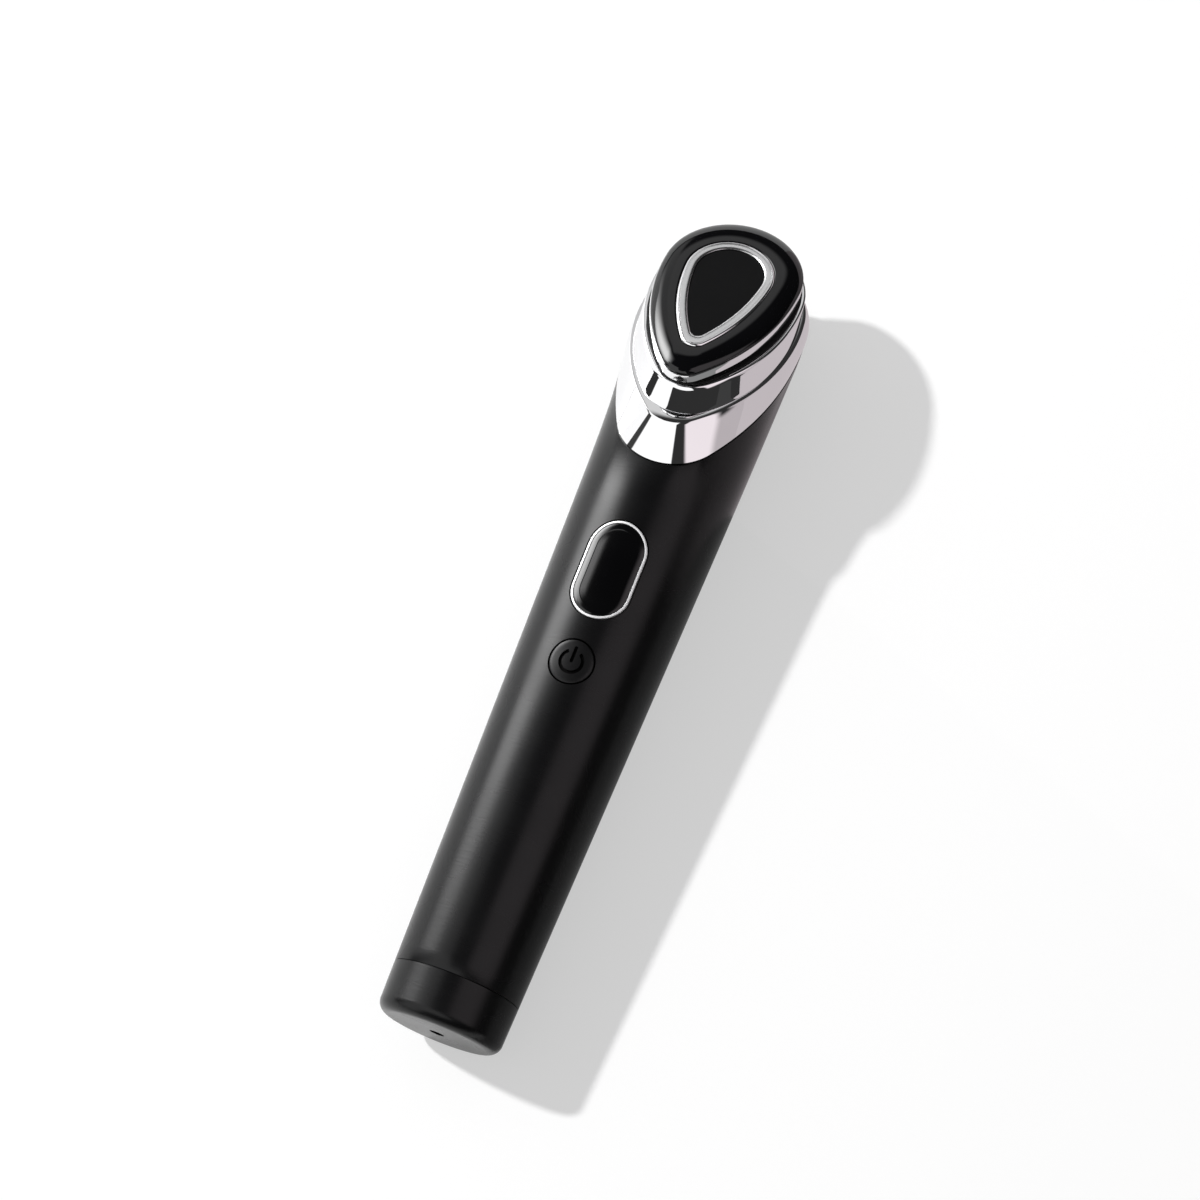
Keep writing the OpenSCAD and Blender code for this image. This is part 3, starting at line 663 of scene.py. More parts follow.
def face_tube(
    name: str,
    finish: Finish,
    rows: Iterable[tuple[Drop, float]],
    sharp: float,
    bands: Optional[dict] = None,
) -> bpy.types.Object:
    """Make a closed hollow piece that goes round the face.

    Args:
        name: The object's name.
        finish: The material it wears.
        rows: Outlines with their heights over the face in mm, once round its section.
        sharp: The angle in degrees from which an edge is crisp.
        bands: Other finishes, each with the first and last row it runs between.

    Returns:
        The new object.
    """
    skin = Skin()
    skin.tube([face_ring(outline, out) for outline, out in rows])
    return skin.piece(name, finish, sharp, bands)


def prism(
    name: str, outline: Sequence[Pair], height: float, r0: float, r1: float
) -> bpy.types.Object:
    """Make a straight cutter that points out of the handle's front.

    Args:
        name: The object's name.
        outline: Points (x, along the axis from the height), in mm.
        height: The height on the handle that the outline is centred on.
        r0: Distance from the axis at which it starts, in mm.
        r1: Distance from the axis at which it ends, in mm.

    Returns:
        The closed cutter.
    """
    skin = Skin()
    skin.loft([[lay(x, -r, height + z) for x, z in outline] for r in (r0, r1)])
    # The cutter carries painted shade, which the walls it cuts take on
    return skin.piece(name, RECESS_SHADE)


def circle(r: float, n: int) -> list[Pair]:
    """List n points round a circle."""
    return [(r * math.cos(math.tau * i / n), r * math.sin(math.tau * i / n)) for i in range(n)]


def oblong(r: float, half: float, n: int = 48) -> list[Pair]:
    """List points round an upright oblong with round ends.

    Args:
        r: Radius of the ends.
        half: Half the distance between their centres.
        n: Points on each round end.

    Returns:
        Points, anticlockwise from the right.
    """
    turns = [math.pi * i / n for i in range(n + 1)]
    top = [(r * math.cos(t), half + r * math.sin(t)) for t in turns]
    return top + [(-x, -y) for x, y in top]


# Handle


@dataclass
class Handle:
    """The black body of the wand, with the openings in its front."""

    seam: float = 9.82
    flare: float = 108.0
    wall: float = 1.8
    around: int = 216
    bore: float = 4.66
    bore_z: float = 73.9
    window_z: float = 93.5
    window_r: float = 6.22
    window_half: float = 4.25
    edge: float = 0.22
    seam_round: float = 0.12
    pitch: float = 3.0
    flare_steps: int = 44
    flare_full: float = 0.992
    ease: float = 0.006
    inner_shares: tuple[float, ...] = (0.9, 0.6, 0.3, 0.0)
    reach: Pair = (4, 22)
    sharp: float = 40.0
    ends: dict[int, Pair] = field(default_factory=dict)

    def cut_end(self, turn: float, outline: Drop) -> Pair:
        """Find where the oblique cut's outline lies, toward one side.

        Args:
            turn: Angle from the front round the axis, in radians.
            outline: The outline on the cut.

        Returns:
            Distance from the axis and height, in mm.
        """
        lo, hi = 0.0, 40.0
        depth = FACE_Y - CUT_H * math.cos(TILT)
        # 28 halvings of the span leave less than a micrometre
        for _ in range(28):
            r = (lo + hi) / 2
            up = (depth - r * math.cos(turn)) / math.sin(TILT)
            if outline.holds(r * math.sin(turn), up):
                lo = r
            else:
                hi = r
        return lo, FACE_Z - CUT_H * math.sin(TILT) + (depth - lo * math.cos(turn)) / math.tan(TILT)

    def ring(self, spot: Callable[[float], Pair]) -> Ring:
        """Make a ring from a rule that gives radius and height for each turn.

        Args:
            spot: The rule, from an angle in radians to two lengths in mm.

        Returns:
            The ring.
        """
        ring = []
        for i in range(self.around):
            turn = math.tau * i / self.around
            r, z = spot(turn)
            ring.append(lay(r * math.sin(turn), -r * math.cos(turn), z))
        return ring

    def end(self, turn: float) -> Pair:
        """Look up where the cut's outline lies, toward one side."""
        return self.ends[round(turn * 1e6)]

    def flared(self, turn: float, share: float) -> Pair:
        """Give a point of the flare, a share of the way from its start to the cut.

        Args:
            turn: Angle from the front round the axis, in radians.
            share: From 0 at its start to 1 at the cut.

        Returns:
            Distance from the axis and height, in mm.
        """
        end_r, end_z = self.end(turn)
        z = self.flare + (end_z - self.flare) * share
        return round_r(z) + (end_r - round_r(end_z)) * share**3, z

    def cut_start(self, turn: float) -> Pair:
        """Give the outer end of the small round on the cut's edge."""
        return self.flared(turn, 1 - self.edge / (self.end(turn)[1] - self.flare))

    def cut_mid(self, turn: float) -> Pair:
        """Give the middle of the small round on the cut's edge.

        Args:
            turn: Angle from the front round the axis, in radians.

        Returns:
            Distance from the axis and height, in mm.
        """
        r0, z0 = self.cut_start(turn)
        r1, z1 = self.cut_end(turn, CUT_LINE.grown(-self.edge))
        r2, z2 = self.end(turn)
        return (r0 + r1) / 4 + r2 / 2 - self.edge * self.ease, (z0 + z1) / 4 + z2 / 2

    def inside(self, end: Pair, share: float) -> Pair:
        """Give a point of the inner wall.

        Args:
            end: Radius and height at which the inner wall meets the cut, in mm.
            share: How far up the flare, from 0 at its start to 1 at the cut.

        Returns:
            Distance from the axis and height, in mm.
        """
        end_r, end_z = end
        z = self.flare + (end_z - self.flare) * share
        r = round_r(z, self.wall)
        # In its upper half the wall keeps within its own opening
        return (min(r, end_r) if share > 0.5 else r), z

    def seam_rings(self) -> list[Ring]:
        """Give the rings from inside the seam round its small rounded edge.

        Returns:
            Four rings, from the inner wall to the outer surface.
        """
        r, z, small = cone_r(self.seam), self.seam, 0.035
        spots = [(r - self.wall, z), (r - self.seam_round, z), (r - small, z + small)]
        spots.append((r, z + self.seam_round))
        return [self.ring(lambda t, spot=spot: spot) for spot in spots]

    def shell(self) -> bpy.types.Object:
        """Build the shell and cut the button's bore and the window into it.

        Returns:
            The dressed piece.
        """
        turns = [math.tau * i / self.around for i in range(self.around)]
        self.ends = {round(t * 1e6): self.cut_end(t, CUT_LINE) for t in turns}
        inner = CUT_LINE.grown(-self.edge)
        deep = {t: self.cut_end(t, CUT_LINE.grown(-self.wall)) for t in turns}
        rings = self.seam_rings()
        z = self.seam + self.pitch
        while z < self.flare - 1:
            rings.append(self.ring(lambda t, z=z: (cone_r(z), z)))
            z += self.pitch
        for k in range(self.flare_steps):
            share = math.sin(math.pi / 2 * k / self.flare_steps)
            if share < self.flare_full:
                rings.append(self.ring(lambda t, s=share: self.flared(t, s)))
        rings += [self.ring(self.cut_start), self.ring(self.cut_mid)]
        rings.append(self.ring(lambda t: self.cut_end(t, inner)))
        rings.append(self.ring(lambda t: deep[t]))
        for share in self.inner_shares:
            rings.append(self.ring(lambda t, s=share: self.inside(deep[t], s)))
        skin = Skin()
        skin.tube(rings)
        shell = skin.piece("handle_shell_skin", MATT_PAINT, self.sharp)
        window = oblong(self.window_r, self.window_half)
        cutters = [
            prism("bore", circle(self.bore, 96), self.bore_z, *self.reach),
            prism("window", window, self.window_z, *self.reach),
        ]
        carve(shell, cutters, self.sharp)
        return dress(shell, "satin_black", "handle_shell")


# Button


@dataclass
class PowerButton:
    """The round push button and the stand-by sign sunk into it."""

    height: float = 73.9
    radius: float = 4.4
    chamfer: float = 0.28
    stem_r: float = 2.2
    flange_r: float = 5.3
    stem_low: float = 9.84
    flange_low: float = 10.24
    flange_top: float = 11.04
    around: int = 128
    sign_r: float = 2.2
    sign_gap: float = 33.0
    stroke: float = 0.66
    sink: float = 0.45
    clear: float = 1.0
    bar_z: float = 1.45
    bar_half: float = 1.35

    def crown(self, x: float, z: float) -> float:
        """Give the distance of the handle's surface from the axis at a spot."""
        return math.sqrt(max(0.0, cone_r(self.height + z) ** 2 - x * x))

    def laid(self, outline: Iterable[Pair], proud: float = 0.0) -> Ring:
        """Lay an outline on the cap's crown, so many mm proud of it."""
        return [lay(x, -(self.crown(x, z) + proud), self.height + z) for x, z in outline]

    def cap(self) -> bpy.types.Object:
        """Build the cap with its rounded edge and sunken sign.

        Returns:
            The dressed piece.
        """
        n = self.around
        under = (
            (self.stem_r, self.stem_low),
            (self.stem_r, self.flange_low),
            (self.flange_r, self.flange_low),
            (self.flange_r, self.flange_top),
            (self.radius, self.flange_top),
        )
        rings = [[lay(x, -out, self.height + z) for x, z in circle(r, n)] for r, out in under]
        for inset, drop in ((0.0, 0.34), (0.03, 0.16), (0.1, 0.06), (self.chamfer, 0.0)):
            rings.append(self.laid(circle(self.radius - inset, n), -drop))
        for r in (3.6, 3.0, 2.4, 1.8, 1.2, 0.6):
            rings.append(self.laid(circle(r, n)))
        skin = Skin()
        skin.loft(rings)
        cap = skin.piece("power_button_cap", BUTTON_PAINT, sharp=40)
        carve(cap, [self.sign_ring(), self.sign_bar()], sharp=30)
        return dress(cap, "button_black", "power_button", body="button")

    def sign_ring(self) -> bpy.types.Object:
        """Make the open ring of the stand-by sign, as a cutter of quads.

        Returns:
            The closed cutter.
        """
        n, half = 48, self.stroke / 2
        gap = math.radians(self.sign_gap)
        turns = [math.pi / 2 + gap + (math.tau - 2 * gap) * i / n for i in range(n + 1)]
        outer, inner = (
            [(r * math.cos(t), r * math.sin(t)) for t in turns]
            for r in (self.sign_r + half, self.sign_r - half)
        )
        skin = Skin()
        (a0, b0), (a1, b1) = (
            [skin.ring(self.laid(line, proud)) for line in (outer, inner)]
            for proud in (-self.sink, self.clear)
        )
        for i in range(n):
            for p, q in ((a0, b0), (a1, b1), (a0, a1), (b0, b1)):
                skin.faces.append((p[i], p[i + 1], q[i + 1], q[i]))
        for i in (0, n):
            skin.faces.append((a0[i], b0[i], b1[i], a1[i]))
        # The cutter carries painted shade, which the sign's walls and floor take on
        return skin.piece("sign_ring", RECESS_SHADE)

    def sign_bar(self) -> bpy.types.Object:
        """Make the bar of the stand-by sign, as a cutter whose floor follows the crown.

        Returns:
            The closed cutter.
        """
        outline = [(x, z + self.bar_z) for x, z in oblong(self.stroke / 2, self.bar_half, 12)]
        skin = Skin()
        skin.loft([self.laid(outline, -self.sink), self.laid(outline, self.clear)])
        # The cutter carries painted shade, which the bar's walls and floor take on
        return skin.piece("sign_bar", RECESS_SHADE)


# Window


@dataclass
class DisplayWindow:
    """The oblong display window: its silver trim and the smoked lens within it."""

    height: float = 93.5
    half: float = 4.25
    outer: float = 5.92
    trim: float = 0.48
    play: float = 0.03
    depth: float = 0.9
    sink_from: float = 1.8
    edge_at: float = -0.02
    middle_at: float = -0.05
    core: float = 5.86

    def row(self, inset: float, proud: float) -> Ring:
        """Give an oblong ring on the handle's surface, inset and raised in mm.

        Args:
            inset: How far inside the outer edge, in mm.
            proud: How far out of the surface, in mm.

        Returns:
            The ring.
        """
        r = self.outer - inset
        ring = []
        for x, z in oblong(r, self.half):
            surface = math.sqrt(cone_r(self.height + z) ** 2 - x * x)
            ring.append(lay(x, -(surface + proud), self.height + z))
        return ring

    def trim_ring(self) -> bpy.types.Object:
        """Build the silver trim, crowned across its width.

        Returns:
            The dressed piece.
        """
        crown = ((0.06, 0.04), (0.2, 0.08), (0.5, 0.09), (0.8, 0.08), (0.94, 0.04))
        rows = [(0.0, -self.depth), (0.0, -0.04), *crown, (1.0, -0.04), (1.0, -self.depth)]
        skin = Skin()
        skin.tube([self.row(share * self.trim, proud) for share, proud in rows])
        trim = skin.piece("window_trim", SILVER_LACQUER, sharp=50)
        return dress(trim, "chrome", "display_trim")

    def lens(self) -> bpy.types.Object:
        """Build the lens, its middle set back a little behind a soft step.

        Returns:
            The dressed piece.
        """
        start, step = self.trim + self.play, self.sink_from
        high, low = self.edge_at, self.middle_at
        rows = [(start, -1.0), (start, -0.1), (start + 0.04, -0.04), (start + 0.12, high)]
        rows += [(start + 0.6, high), (step - 0.12, high), (step - 0.04, -0.025)]
        rows += [(step + 0.04, -0.045), (step + 0.1, low), (step + 1, low), (step + 2, low)]
        rows += [(step + 3, low), (self.core, low)]
        skin = Skin()
        skin.loft([self.row(inset, proud) for inset, proud in rows])
        lens = skin.piece("window_lens", SMOKED_LENS, sharp=50)
        return dress(lens, "gloss_black", "display_lens")


# Head


@dataclass
class Head:
    """The chromed neck and the layers of the tilted face, heights over its plane in mm."""

    bevel: float = 0.22
    fullness: float = 0.6
    collar_top: float = -8.25
    collar_steps: int = 24
    bezel_base: float = -8.0
    bezel_top: float = -3.5
    bezel_steps: int = 8
    skirt: float = -12.0
    well: float = -7.1
    rim_low: float = -2.0
    rim_top: float = -0.02
    rim_edge: float = 0.14
    block_low: float = -1.9
    block_edge: float = 0.12
    block_steps: int = 30
    shoulder: float = 0.3
    seat: float = 0.5
    ledge: float = -0.1

    def collar(self) -> bpy.types.Object:
        """Build the chromed collar: straight toward the tip, full at the flanks.

        Returns:
            The dressed piece.
        """
        low, high, b = -CUT_H + CUT_GAP, self.collar_top, self.bevel
        rows = [(CUT_LINE.grown(-1.5), low), (CUT_LINE.grown(-b), low)]
        rows.append((CUT_LINE.grown(-0.3 * b), low + 0.3 * b))
        for k in range(self.collar_steps + 1):
            t = k / self.collar_steps
            plain = CUT_LINE.mixed(COLLAR_EDGE, t)
            full = replace(plain, top_r=plain.top_r + self.fullness * 4 * t * (1 - t))
            rows.append((full, low + b + (high - low - b) * t))
        rows += [
            (COLLAR_EDGE.grown(-0.05), high + 0.07),
            (COLLAR_EDGE.grown(-0.16), high + 0.11),
            (BEZEL_BASE.grown(-0.6), self.bezel_base),
            (BEZEL_BASE.grown(-1.0), self.bezel_base),
            (BEZEL_BASE.grown(-1.0), self.bezel_base - 1),
            (BELLY.grown(-1.6), -10.8),
        ]
        collar = face_tube("collar_skin", BRIGHT_CHROME, rows, sharp=34)
        return dress(collar, "chrome", "chrome_collar")

    def bezel(self) -> bpy.types.Object:
        """Build the chromed bezel that carries the face.

        Returns:
            The dressed piece.
        """
        base, top, b = self.bezel_base, self.bezel_top, self.bevel
        rows = [(BEZEL_BASE.grown(-1.2), self.skirt), (BEZEL_BASE.grown(-1.2), base)]
        rows += [(BEZEL_BASE.grown(-b), base), (BEZEL_BASE.grown(-0.3 * b), base + 0.3 * b)]
        for k in range(self.bezel_steps + 1):
            share = (b + (top - base - 2 * b) * k / self.bezel_steps) / (top - base)
            rows.append((BEZEL_BASE.mixed(BEZEL_TOP, share), base + (top - base) * share))
        rows += [(BEZEL_TOP.grown(-0.3 * b), top - 0.3 * b), (BEZEL_TOP.grown(-b), top)]
        rows += [(BEZEL_TOP.grown(-0.7), top), (BEZEL_TOP.grown(-0.7), self.well)]
        rows += [(BEZEL_BASE.grown(-2.4), self.well), (BEZEL_BASE.grown(-2.4), self.skirt)]
        bezel = face_tube("bezel_skin", BRIGHT_CHROME, rows, sharp=34)
        return dress(bezel, "chrome", "head_bezel")

    def rim(self) -> bpy.types.Object:
        """Build the bright rim round the glossy block.

        Returns:
            The dressed piece.
        """
        outer, e = BLOCK.grown(0.25), self.rim_edge
        low, top = self.rim_low, self.rim_top
        rows = [
            (outer.grown(-1.6), low),
            (outer.grown(-e), low),
            (outer, low + e),
            (outer, -1.0),
            (outer, top - e),
            (outer.grown(-0.3 * e), top - 0.3 * e),
            (outer.grown(-e), top),
            (outer.grown(-1.6), top),
        ]
        rim = face_tube("rim_skin", BRIGHT_CHROME, rows, sharp=40)
        return dress(rim, "rim_silver", "rim_electrode")

    def block(self) -> bpy.types.Object:
        """Build the glossy block, crowned from its edge to the drop.

        Returns:
            The dressed piece.
        """
        inner, e = DROP_OUT.grown(0.25), self.block_edge
        rows = [(BLOCK.grown(-1.5), self.block_low), (BLOCK.grown(-1.5), 0.0)]
        rows += [(BLOCK.grown(-e), 0.0), (BLOCK, e)]
        for k in range(self.block_steps + 1):
            t = k / self.block_steps
            rise = self.shoulder + (CROWN - self.shoulder) * (1 - (1 - t) ** 2.4) ** 0.8
            rows.append((BLOCK.mixed(inner, t), rise))
        rows += [
            (DROP_OUT.grown(0.13), CROWN - 0.08),
            (DROP_OUT.grown(0.1), CROWN - 0.2),
            (DROP_OUT.grown(0.1), self.seat),
            (DROP_IN.grown(-1.2), self.seat),
            (DROP_IN.grown(-1.2), self.ledge),
            (BLOCK.grown(-2.8), self.ledge),
            (BLOCK.grown(-2.8), self.block_low),
        ]
        block = face_tube("face_block_skin", GLOSS_ACRYLIC, rows, sharp=34)
        return dress(block, "gloss_black", "face_block")

    def electrode(self) -> bpy.types.Object:
        """Build the drop-shaped electrode with its bevelled edge and fine groove.

        Returns:
            The dressed piece.
        """
        top, foot = CROWN + 0.2, self.seat + 0.05
        rows = [
            (DROP_OUT, foot),
            (DROP_OUT, CROWN - 0.08),
            (DROP_OUT.grown(-0.04), CROWN - 0.02),
            (DROP_OUT.grown(-0.3), top - 0.01),
            (DROP_OUT.grown(-0.36), top),
            (DROP_OUT.grown(-0.44), top - 0.01),
            (DROP_OUT.grown(-0.5), top - 0.12),
            (DROP_OUT.grown(-0.62), top - 0.12),
            (DROP_OUT.grown(-0.68), top - 0.02),
            (DROP_OUT.mixed(DROP_IN, 0.5), top + 0.02),
            (DROP_OUT.mixed(DROP_IN, 0.75), top - 0.02),
            (DROP_IN.grown(0.2), top - 0.08),
            (DROP_IN.grown(0.04), top - 0.2),
            (DROP_IN, CROWN - 0.2),
            (DROP_IN, foot),
        ]
        # The bevel outside the groove is polished, the band inside it brushed
        bevel = {BRIGHT_CHROME: (1, 6)}
        band = face_tube("drop_electrode_skin", SATIN_CHROME, rows, sharp=30, bands=bevel)
        return dress(band, "brushed_silver", "drop_electrode")


# Studio

WHITE, ROSE = "#ffffff", "#fff5f9"


@dataclass(frozen=True)
class Card:
    """A lit card of the studio, seen only in reflections: a patch of a dome.

    Azimuths run clockwise from the way the head points, all in degrees.
    """

    name: str
    azimuth: Pair
    elevation: Pair
    level: float
    tint: str = WHITE
    soft: float = 0.08


CARDS = (
    Card("overhead", (139, 287), (44, 77), 1.15, soft=0.03),
    Card("south_west", (206, 258), (20, 47), 1.15, soft=0.03),
    Card("south_low", (206, 247), (7, 22), 1.15, soft=0.03),
    Card("west_gap", (257, 264), (12, 45), 0.05, soft=0.02),
    Card("west_edge", (263, 276), (12, 47), 1.1, soft=0.04),
    Card("west_horizon", (264, 312), (-1, 13), 1.15, soft=0.06),
    Card("west_bank", (266, 320), (0, 58), 15.0, soft=0.45),
    Card("north_west", (308, 334), (-1, 34), 0.6, soft=0.2),
    Card("north", (318, 364), (14, 47), 0.7, soft=0.2),
    Card("east_high", (58, 111), (20, 75), 0.95, ROSE, soft=0.15),
    Card("east_low", (72, 93), (-6, 32), 0.52, ROSE, soft=0.12),
)


@dataclass
class Studio:
    """Floor, key lamp, reflection cards, world and camera, placed in metres."""

    focus: tuple[float, float, float] = (0.0, 0.05, 0.02)
    dome: float = 3.0
    camera_at: tuple[float, float, float] = (0.1587622, -0.1988244, 0.6735338)
    camera_turn: tuple[float, float, float] = (20.61659716, 6.39934021, 21.89425407)
    fill: float = 0.24
    key_share: float = 0.83
    key_far: float = 2.5
    key_size: float = 0.12
    key_azimuth: float = 172.0
    key_elevation: float = 46.5
    room: float = 0.03
    paper_glow: float = 0.52
    floor_half: float = 1.6
    floor_cells: int = 24
    card_cols: int = 24
    card_rows: int = 12
    lens_mm: float = 108.0
    sensor_mm: float = 36.0

    def floor(self) -> bpy.types.Object:
        """Lay the white paper floor, whose own white the eye and the chrome see.

        Returns:
            The floor.
        """
        n = self.floor_cells
        marks = [self.floor_half * (2 * i / n - 1) for i in range(n + 1)]
        skin = Skin()
        skin.grid([[Vector((x, y, 0.0)) for x in marks] for y in marks])
        paper = Finish(
            "paper_seamless_white", "#fafafa", "#fbfbfb", Pattern.FINE_GRAIN,
            roughness=0.9, spread=0.02, grain_mm=0.6, depth_mm=0.0005,
        )
        floor = skin.piece("studio_floor", paper)
        tree = floor.data.materials[0].node_tree
        out = next(n for n in tree.nodes if n.type == "OUTPUT_MATERIAL")
        lit = out.inputs["Surface"].links[0].from_socket
        path = add_node(tree, "ShaderNodeLightPath")
        seen = path.outputs["Is Camera Ray"]
        for kind in ("Is Glossy Ray", "Is Transmission Ray"):
            both = {0: seen, 1: path.outputs[kind]}
            seen = add_node(tree, "ShaderNodeMath", links=both, operation="MAXIMUM").outputs[0]
        share = add_node(
            tree, "ShaderNodeMath", {1: self.paper_glow}, {0: seen}, operation="MULTIPLY"
        )
        white = add_node(tree, "ShaderNodeEmission", {"Color": linear(WHITE), "Strength": 1.0})
        parts = {0: share.outputs[0], 1: lit, 2: white.outputs[0]}
        mix = add_node(tree, "ShaderNodeMixShader", links=parts)
        tree.links.new(mix.outputs[0], out.inputs["Surface"])
        return floor

    @staticmethod
    def marks(span: Pair, count: int) -> list[float]:
        """Divide a span given in degrees into equal steps, in radians."""
        return [math.radians(span[0] + (span[1] - span[0]) * i / count) for i in range(count + 1)]

    def spot(self, azimuth: float, elevation: float, far: float) -> Vector:
        """Give the point that lies so far off the focus, its two angles in radians.

        Args:
            azimuth: Clockwise from the way the head points.
            elevation: Over the level of the focus.
            far: Distance from the focus, in metres.

        Returns:
            The point in metres.
        """
        level = math.cos(elevation)
        out = Vector((math.sin(azimuth) * level, math.cos(azimuth) * level, math.sin(elevation)))
        return Vector(self.focus) + out * far

    def card(self, c: Card) -> bpy.types.Object:
        """Hang one card, brightest in its middle, with edges as soft as it asks.

        Args:
            c: The card to hang.

        Returns:
            The card's object.
        """
        cols, rows = self.card_cols, self.card_rows
        azimuths = self.marks(c.azimuth, cols)
        # Each card hangs a little behind the one before, so that none fight for a place
        far = self.dome + 0.01 * CARDS.index(c)
        skin = Skin()
        skin.grid([[self.spot(a, e, far) for a in azimuths] for e in self.marks(c.elevation, rows)])
        card = skin.piece("card_" + c.name, DARK_NYLON)
        chart = card.data.uv_layers.new(name="chart")
        for loop in card.data.loops:
            j, i = divmod(loop.vertex_index, cols + 1)
            chart.data[loop.index].uv = (i / cols, j / rows)
        card.data.materials[0] = self.glow(c)
        self.only_reflected(card)
        return card

    def glow(self, c: Card) -> bpy.types.Material:
        """Make a card's light, which fades out toward its four edges.

        Args:
            c: The card it is for.

        Returns:
            The material.
        """
        material = bpy.data.materials.new("card_" + c.name)
        material.use_nodes = True
        tree = material.node_tree
        tree.nodes.clear()
        chart = add_node(tree, "ShaderNodeUVMap", uv_map="chart")
        parts = add_node(tree, "ShaderNodeSeparateXYZ", links={0: chart.outputs[0]})
        product = None
        for axis in (0, 1):
            for flip in (False, True):
                edge = parts.outputs[axis]
                if flip:
                    rest = add_node(
                        tree, "ShaderNodeMath", {0: 1.0}, {1: edge}, operation="SUBTRACT"
                    )
                    edge = rest.outputs[0]
                rise = add_node(
                    tree,
                    "ShaderNodeMapRange",
                    {"From Min": 0.0, "From Max": c.soft},
                    {"Value": edge},
                    interpolation_type="SMOOTHSTEP",
                ).outputs[0]
                if product is None:
                    product = rise
                    continue
                both = {0: product, 1: rise}
                times = add_node(tree, "ShaderNodeMath", links=both, operation="MULTIPLY")
                product = times.outputs[0]
        lit = {"Color": linear(c.tint), "Strength": c.level}
        light = add_node(tree, "ShaderNodeEmission", lit)
        clear = add_node(tree, "ShaderNodeBsdfTransparent")
        parts = {0: product, 1: clear.outputs[0], 2: light.outputs[0]}
        mix = add_node(tree, "ShaderNodeMixShader", links=parts)
        add_node(tree, "ShaderNodeOutputMaterial", links={"Surface": mix.outputs[0]})
        return material

    def sheet(
        self, name: str, corners: Iterable[tuple[float, ...]], level: float, tint: str = WHITE
    ) -> None:
        """Set up a flat sheet of even tone that only reflections see.

        Args:
            name: The sheet's name.
            corners: Its corners in order, in metres.
            level: The light it gives off.
            tint: The colour of that light.
        """
        skin = Skin()
        skin.faces.append(tuple(skin.ring([Vector(p) for p in corners])))
        sheet = skin.piece(name, DARK_NYLON)
        material = bpy.data.materials.new(name)
        material.use_nodes = True
        tree = material.node_tree
        tree.nodes.clear()
        light = add_node(tree, "ShaderNodeEmission", {"Color": linear(tint), "Strength": level})
        add_node(tree, "ShaderNodeOutputMaterial", links={"Surface": light.outputs[0]})
        sheet.data.materials[0] = material
        self.only_reflected(sheet)

    def flags(self) -> None:
        """Shade the handle's right side and give the floor beside the head the rose of its shadow,
        all as painted shade that only reflections see.
        """
        near, far, rear, front = 0.013, 0.1, -0.12, 0.035
        reach, slant = 1.55, 0.6
        low, lower, top = 0.0004, 0.0002, 0.055
        foot = ((near, rear, low), (far, rear, low), (far, front, low), (near, front, low))
        wall = ((far, rear, low), (far, rear, top), (far, front, top), (far, front, low))
        head = ((near, front), (reach, front - slant), (reach, reach), (near, reach))
        # Painted shadow: a dim sheet over the floor beside the handle, for the shaded floor as the
        # handle reflects it
        self.sheet("floor_shadow_sheet", foot, level=0.25)
        # Painted shade: a dark standing sheet that darkens the handle's right side in its
        # reflections
        self.sheet("shade_wall_sheet", wall, level=0.05)
        # Painted shadow: a rose sheet beside the head, for the shaded floor as the chrome reflects
        # it
        self.sheet("head_shadow_sheet", [(x, y, lower) for x, y in head], level=0.58, tint=ROSE)

    def only_reflected(self, card: bpy.types.Object) -> None:
        """Hide a card from all but reflections.

        Args:
            card: The card or sheet.
        """
        card.visible_camera = False
        card.visible_diffuse = False
        card.visible_shadow = False
        card.visible_transmission = False

    def key(self) -> None:
        """Set the key lamp, whose shadow falls to the right."""
        lamp = bpy.data.lights.new("key", "AREA")
        lamp.shape = "DISK"
        lamp.size = self.key_size
        a, e = math.radians(self.key_azimuth), math.radians(self.key_elevation)
        # Power that adds key_share of light to a level white floor
        lamp.energy = self.key_share * math.pi**2 * self.key_far**2 / math.sin(e)
        obj = bpy.data.objects.new("key", lamp)
        bpy.context.scene.collection.objects.link(obj)
        level = math.cos(e)
        at = Vector((math.cos(a) * level, math.sin(a) * level, math.sin(e))) * self.key_far
        obj.location = at
        obj.rotation_mode = "QUATERNION"
        aim = Vector((0, 0, 0.02))
        obj.rotation_quaternion = (aim - at).to_track_quat("-Z", "Y")
        obj.visible_glossy = False

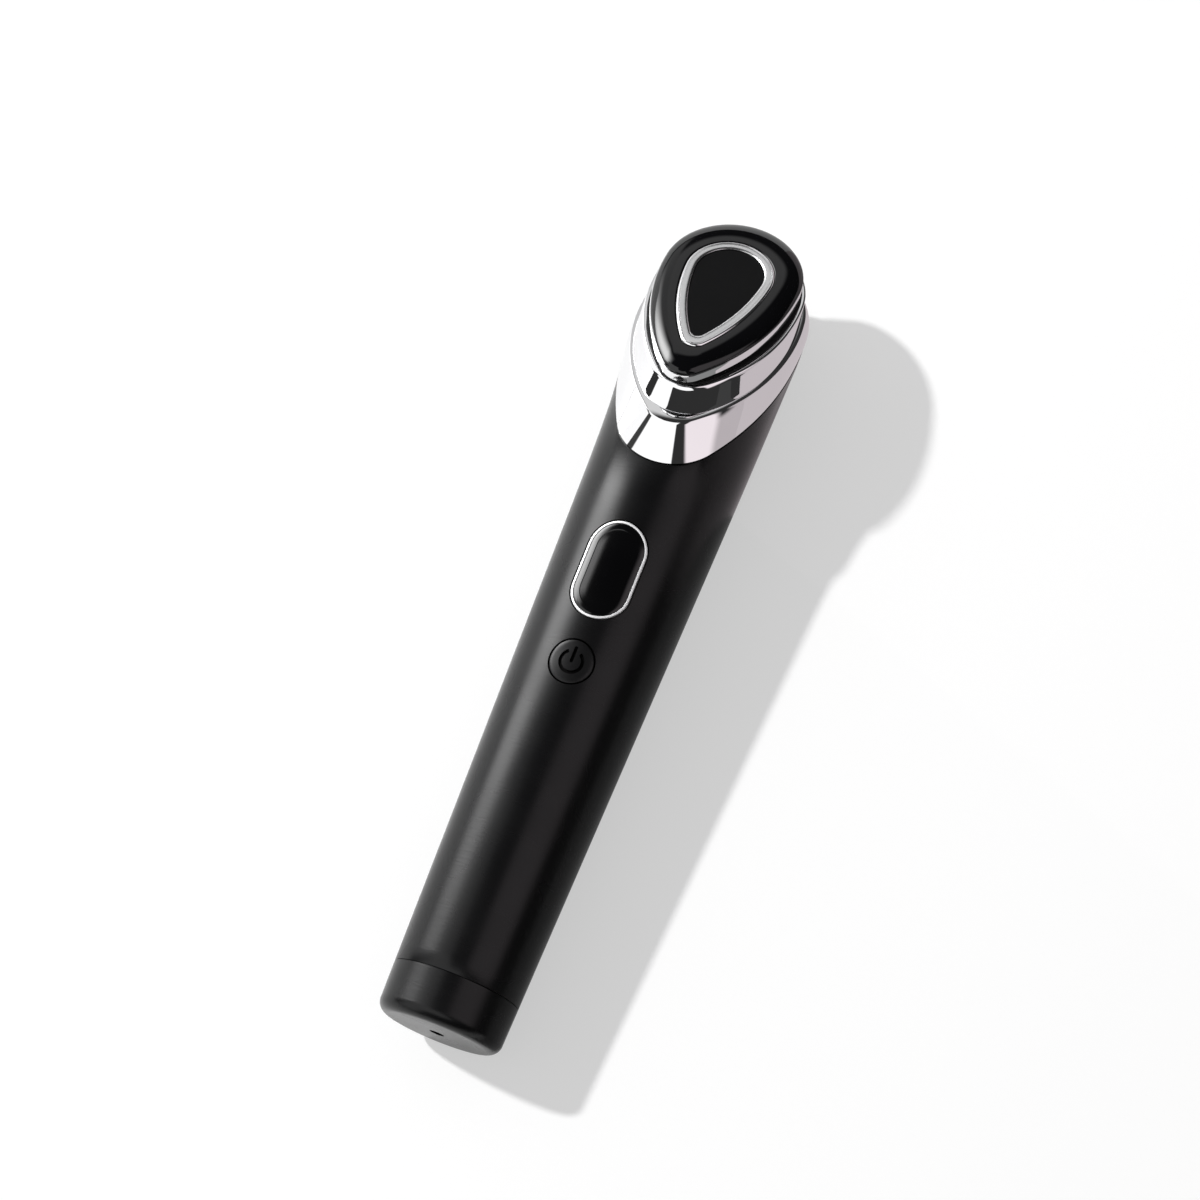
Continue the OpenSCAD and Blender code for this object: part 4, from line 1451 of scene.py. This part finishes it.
    def world(self) -> None:
        """Give even fill light, a white surround and a dim room for reflections."""
        world = bpy.data.worlds.new("studio")
        bpy.context.scene.world = world
        world.use_nodes = True
        tree = world.node_tree
        tree.nodes.clear()
        path = add_node(tree, "ShaderNodeLightPath")
        fill, room, white = (
            add_node(tree, "ShaderNodeBackground", {"Color": linear(WHITE), "Strength": level})
            for level in (self.fill, self.room, 1.0)
        )
        parts = {0: path.outputs["Is Glossy Ray"], 1: fill.outputs[0], 2: room.outputs[0]}
        first = add_node(tree, "ShaderNodeMixShader", links=parts)
        both = {0: path.outputs["Is Camera Ray"], 1: path.outputs["Is Transmission Ray"]}
        seen = add_node(tree, "ShaderNodeMath", links=both, operation="MAXIMUM")
        parts = {0: seen.outputs[0], 1: first.outputs[0], 2: white.outputs[0]}
        last = add_node(tree, "ShaderNodeMixShader", links=parts)
        add_node(tree, "ShaderNodeOutputWorld", links={"Surface": last.outputs[0]})

    def camera(self) -> None:
        """Set the camera where the photograph was taken from."""
        data = bpy.data.cameras.new("camera")
        data.lens = self.lens_mm
        data.sensor_width = self.sensor_mm
        data.clip_start = 0.01
        data.clip_end = 20.0
        obj = bpy.data.objects.new("camera", data)
        obj.location = self.camera_at
        obj.rotation_euler = [math.radians(a) for a in self.camera_turn]
        bpy.context.scene.collection.objects.link(obj)
        bpy.context.scene.camera = obj
        bpy.context.scene.view_settings.view_transform = "Standard"


def paint_cad() -> None:
    """Give every carried-over CAD node the finish of its slot."""
    slots = {s["node"]: s["material_slot"] for s in frame["record"]["subparts"]}
    for name, obj in frame["nodes"].items():
        material = PAINTS.get(SLOT_FINISH[slots[name]])
        if not obj.data.materials:
            obj.data.materials.append(material)
        for i in range(len(obj.data.materials)):
            obj.data.materials[i] = material


def main() -> None:
    """Build every sub-assembly and the studio."""
    logging.basicConfig(level=logging.INFO, format="%(name)s %(message)s")
    studio = Studio()
    studio.camera()
    paint_cad()
    Handle().shell()
    PowerButton().cap()
    window = DisplayWindow()
    window.trim_ring()
    window.lens()
    head = Head()
    for make in (head.collar, head.bezel, head.rim, head.block, head.electrode):
        make()
    studio.floor()
    studio.key()
    studio.world()
    studio.flags()
    for card in CARDS:
        studio.card(card)


if __name__ == "__main__":
    main()
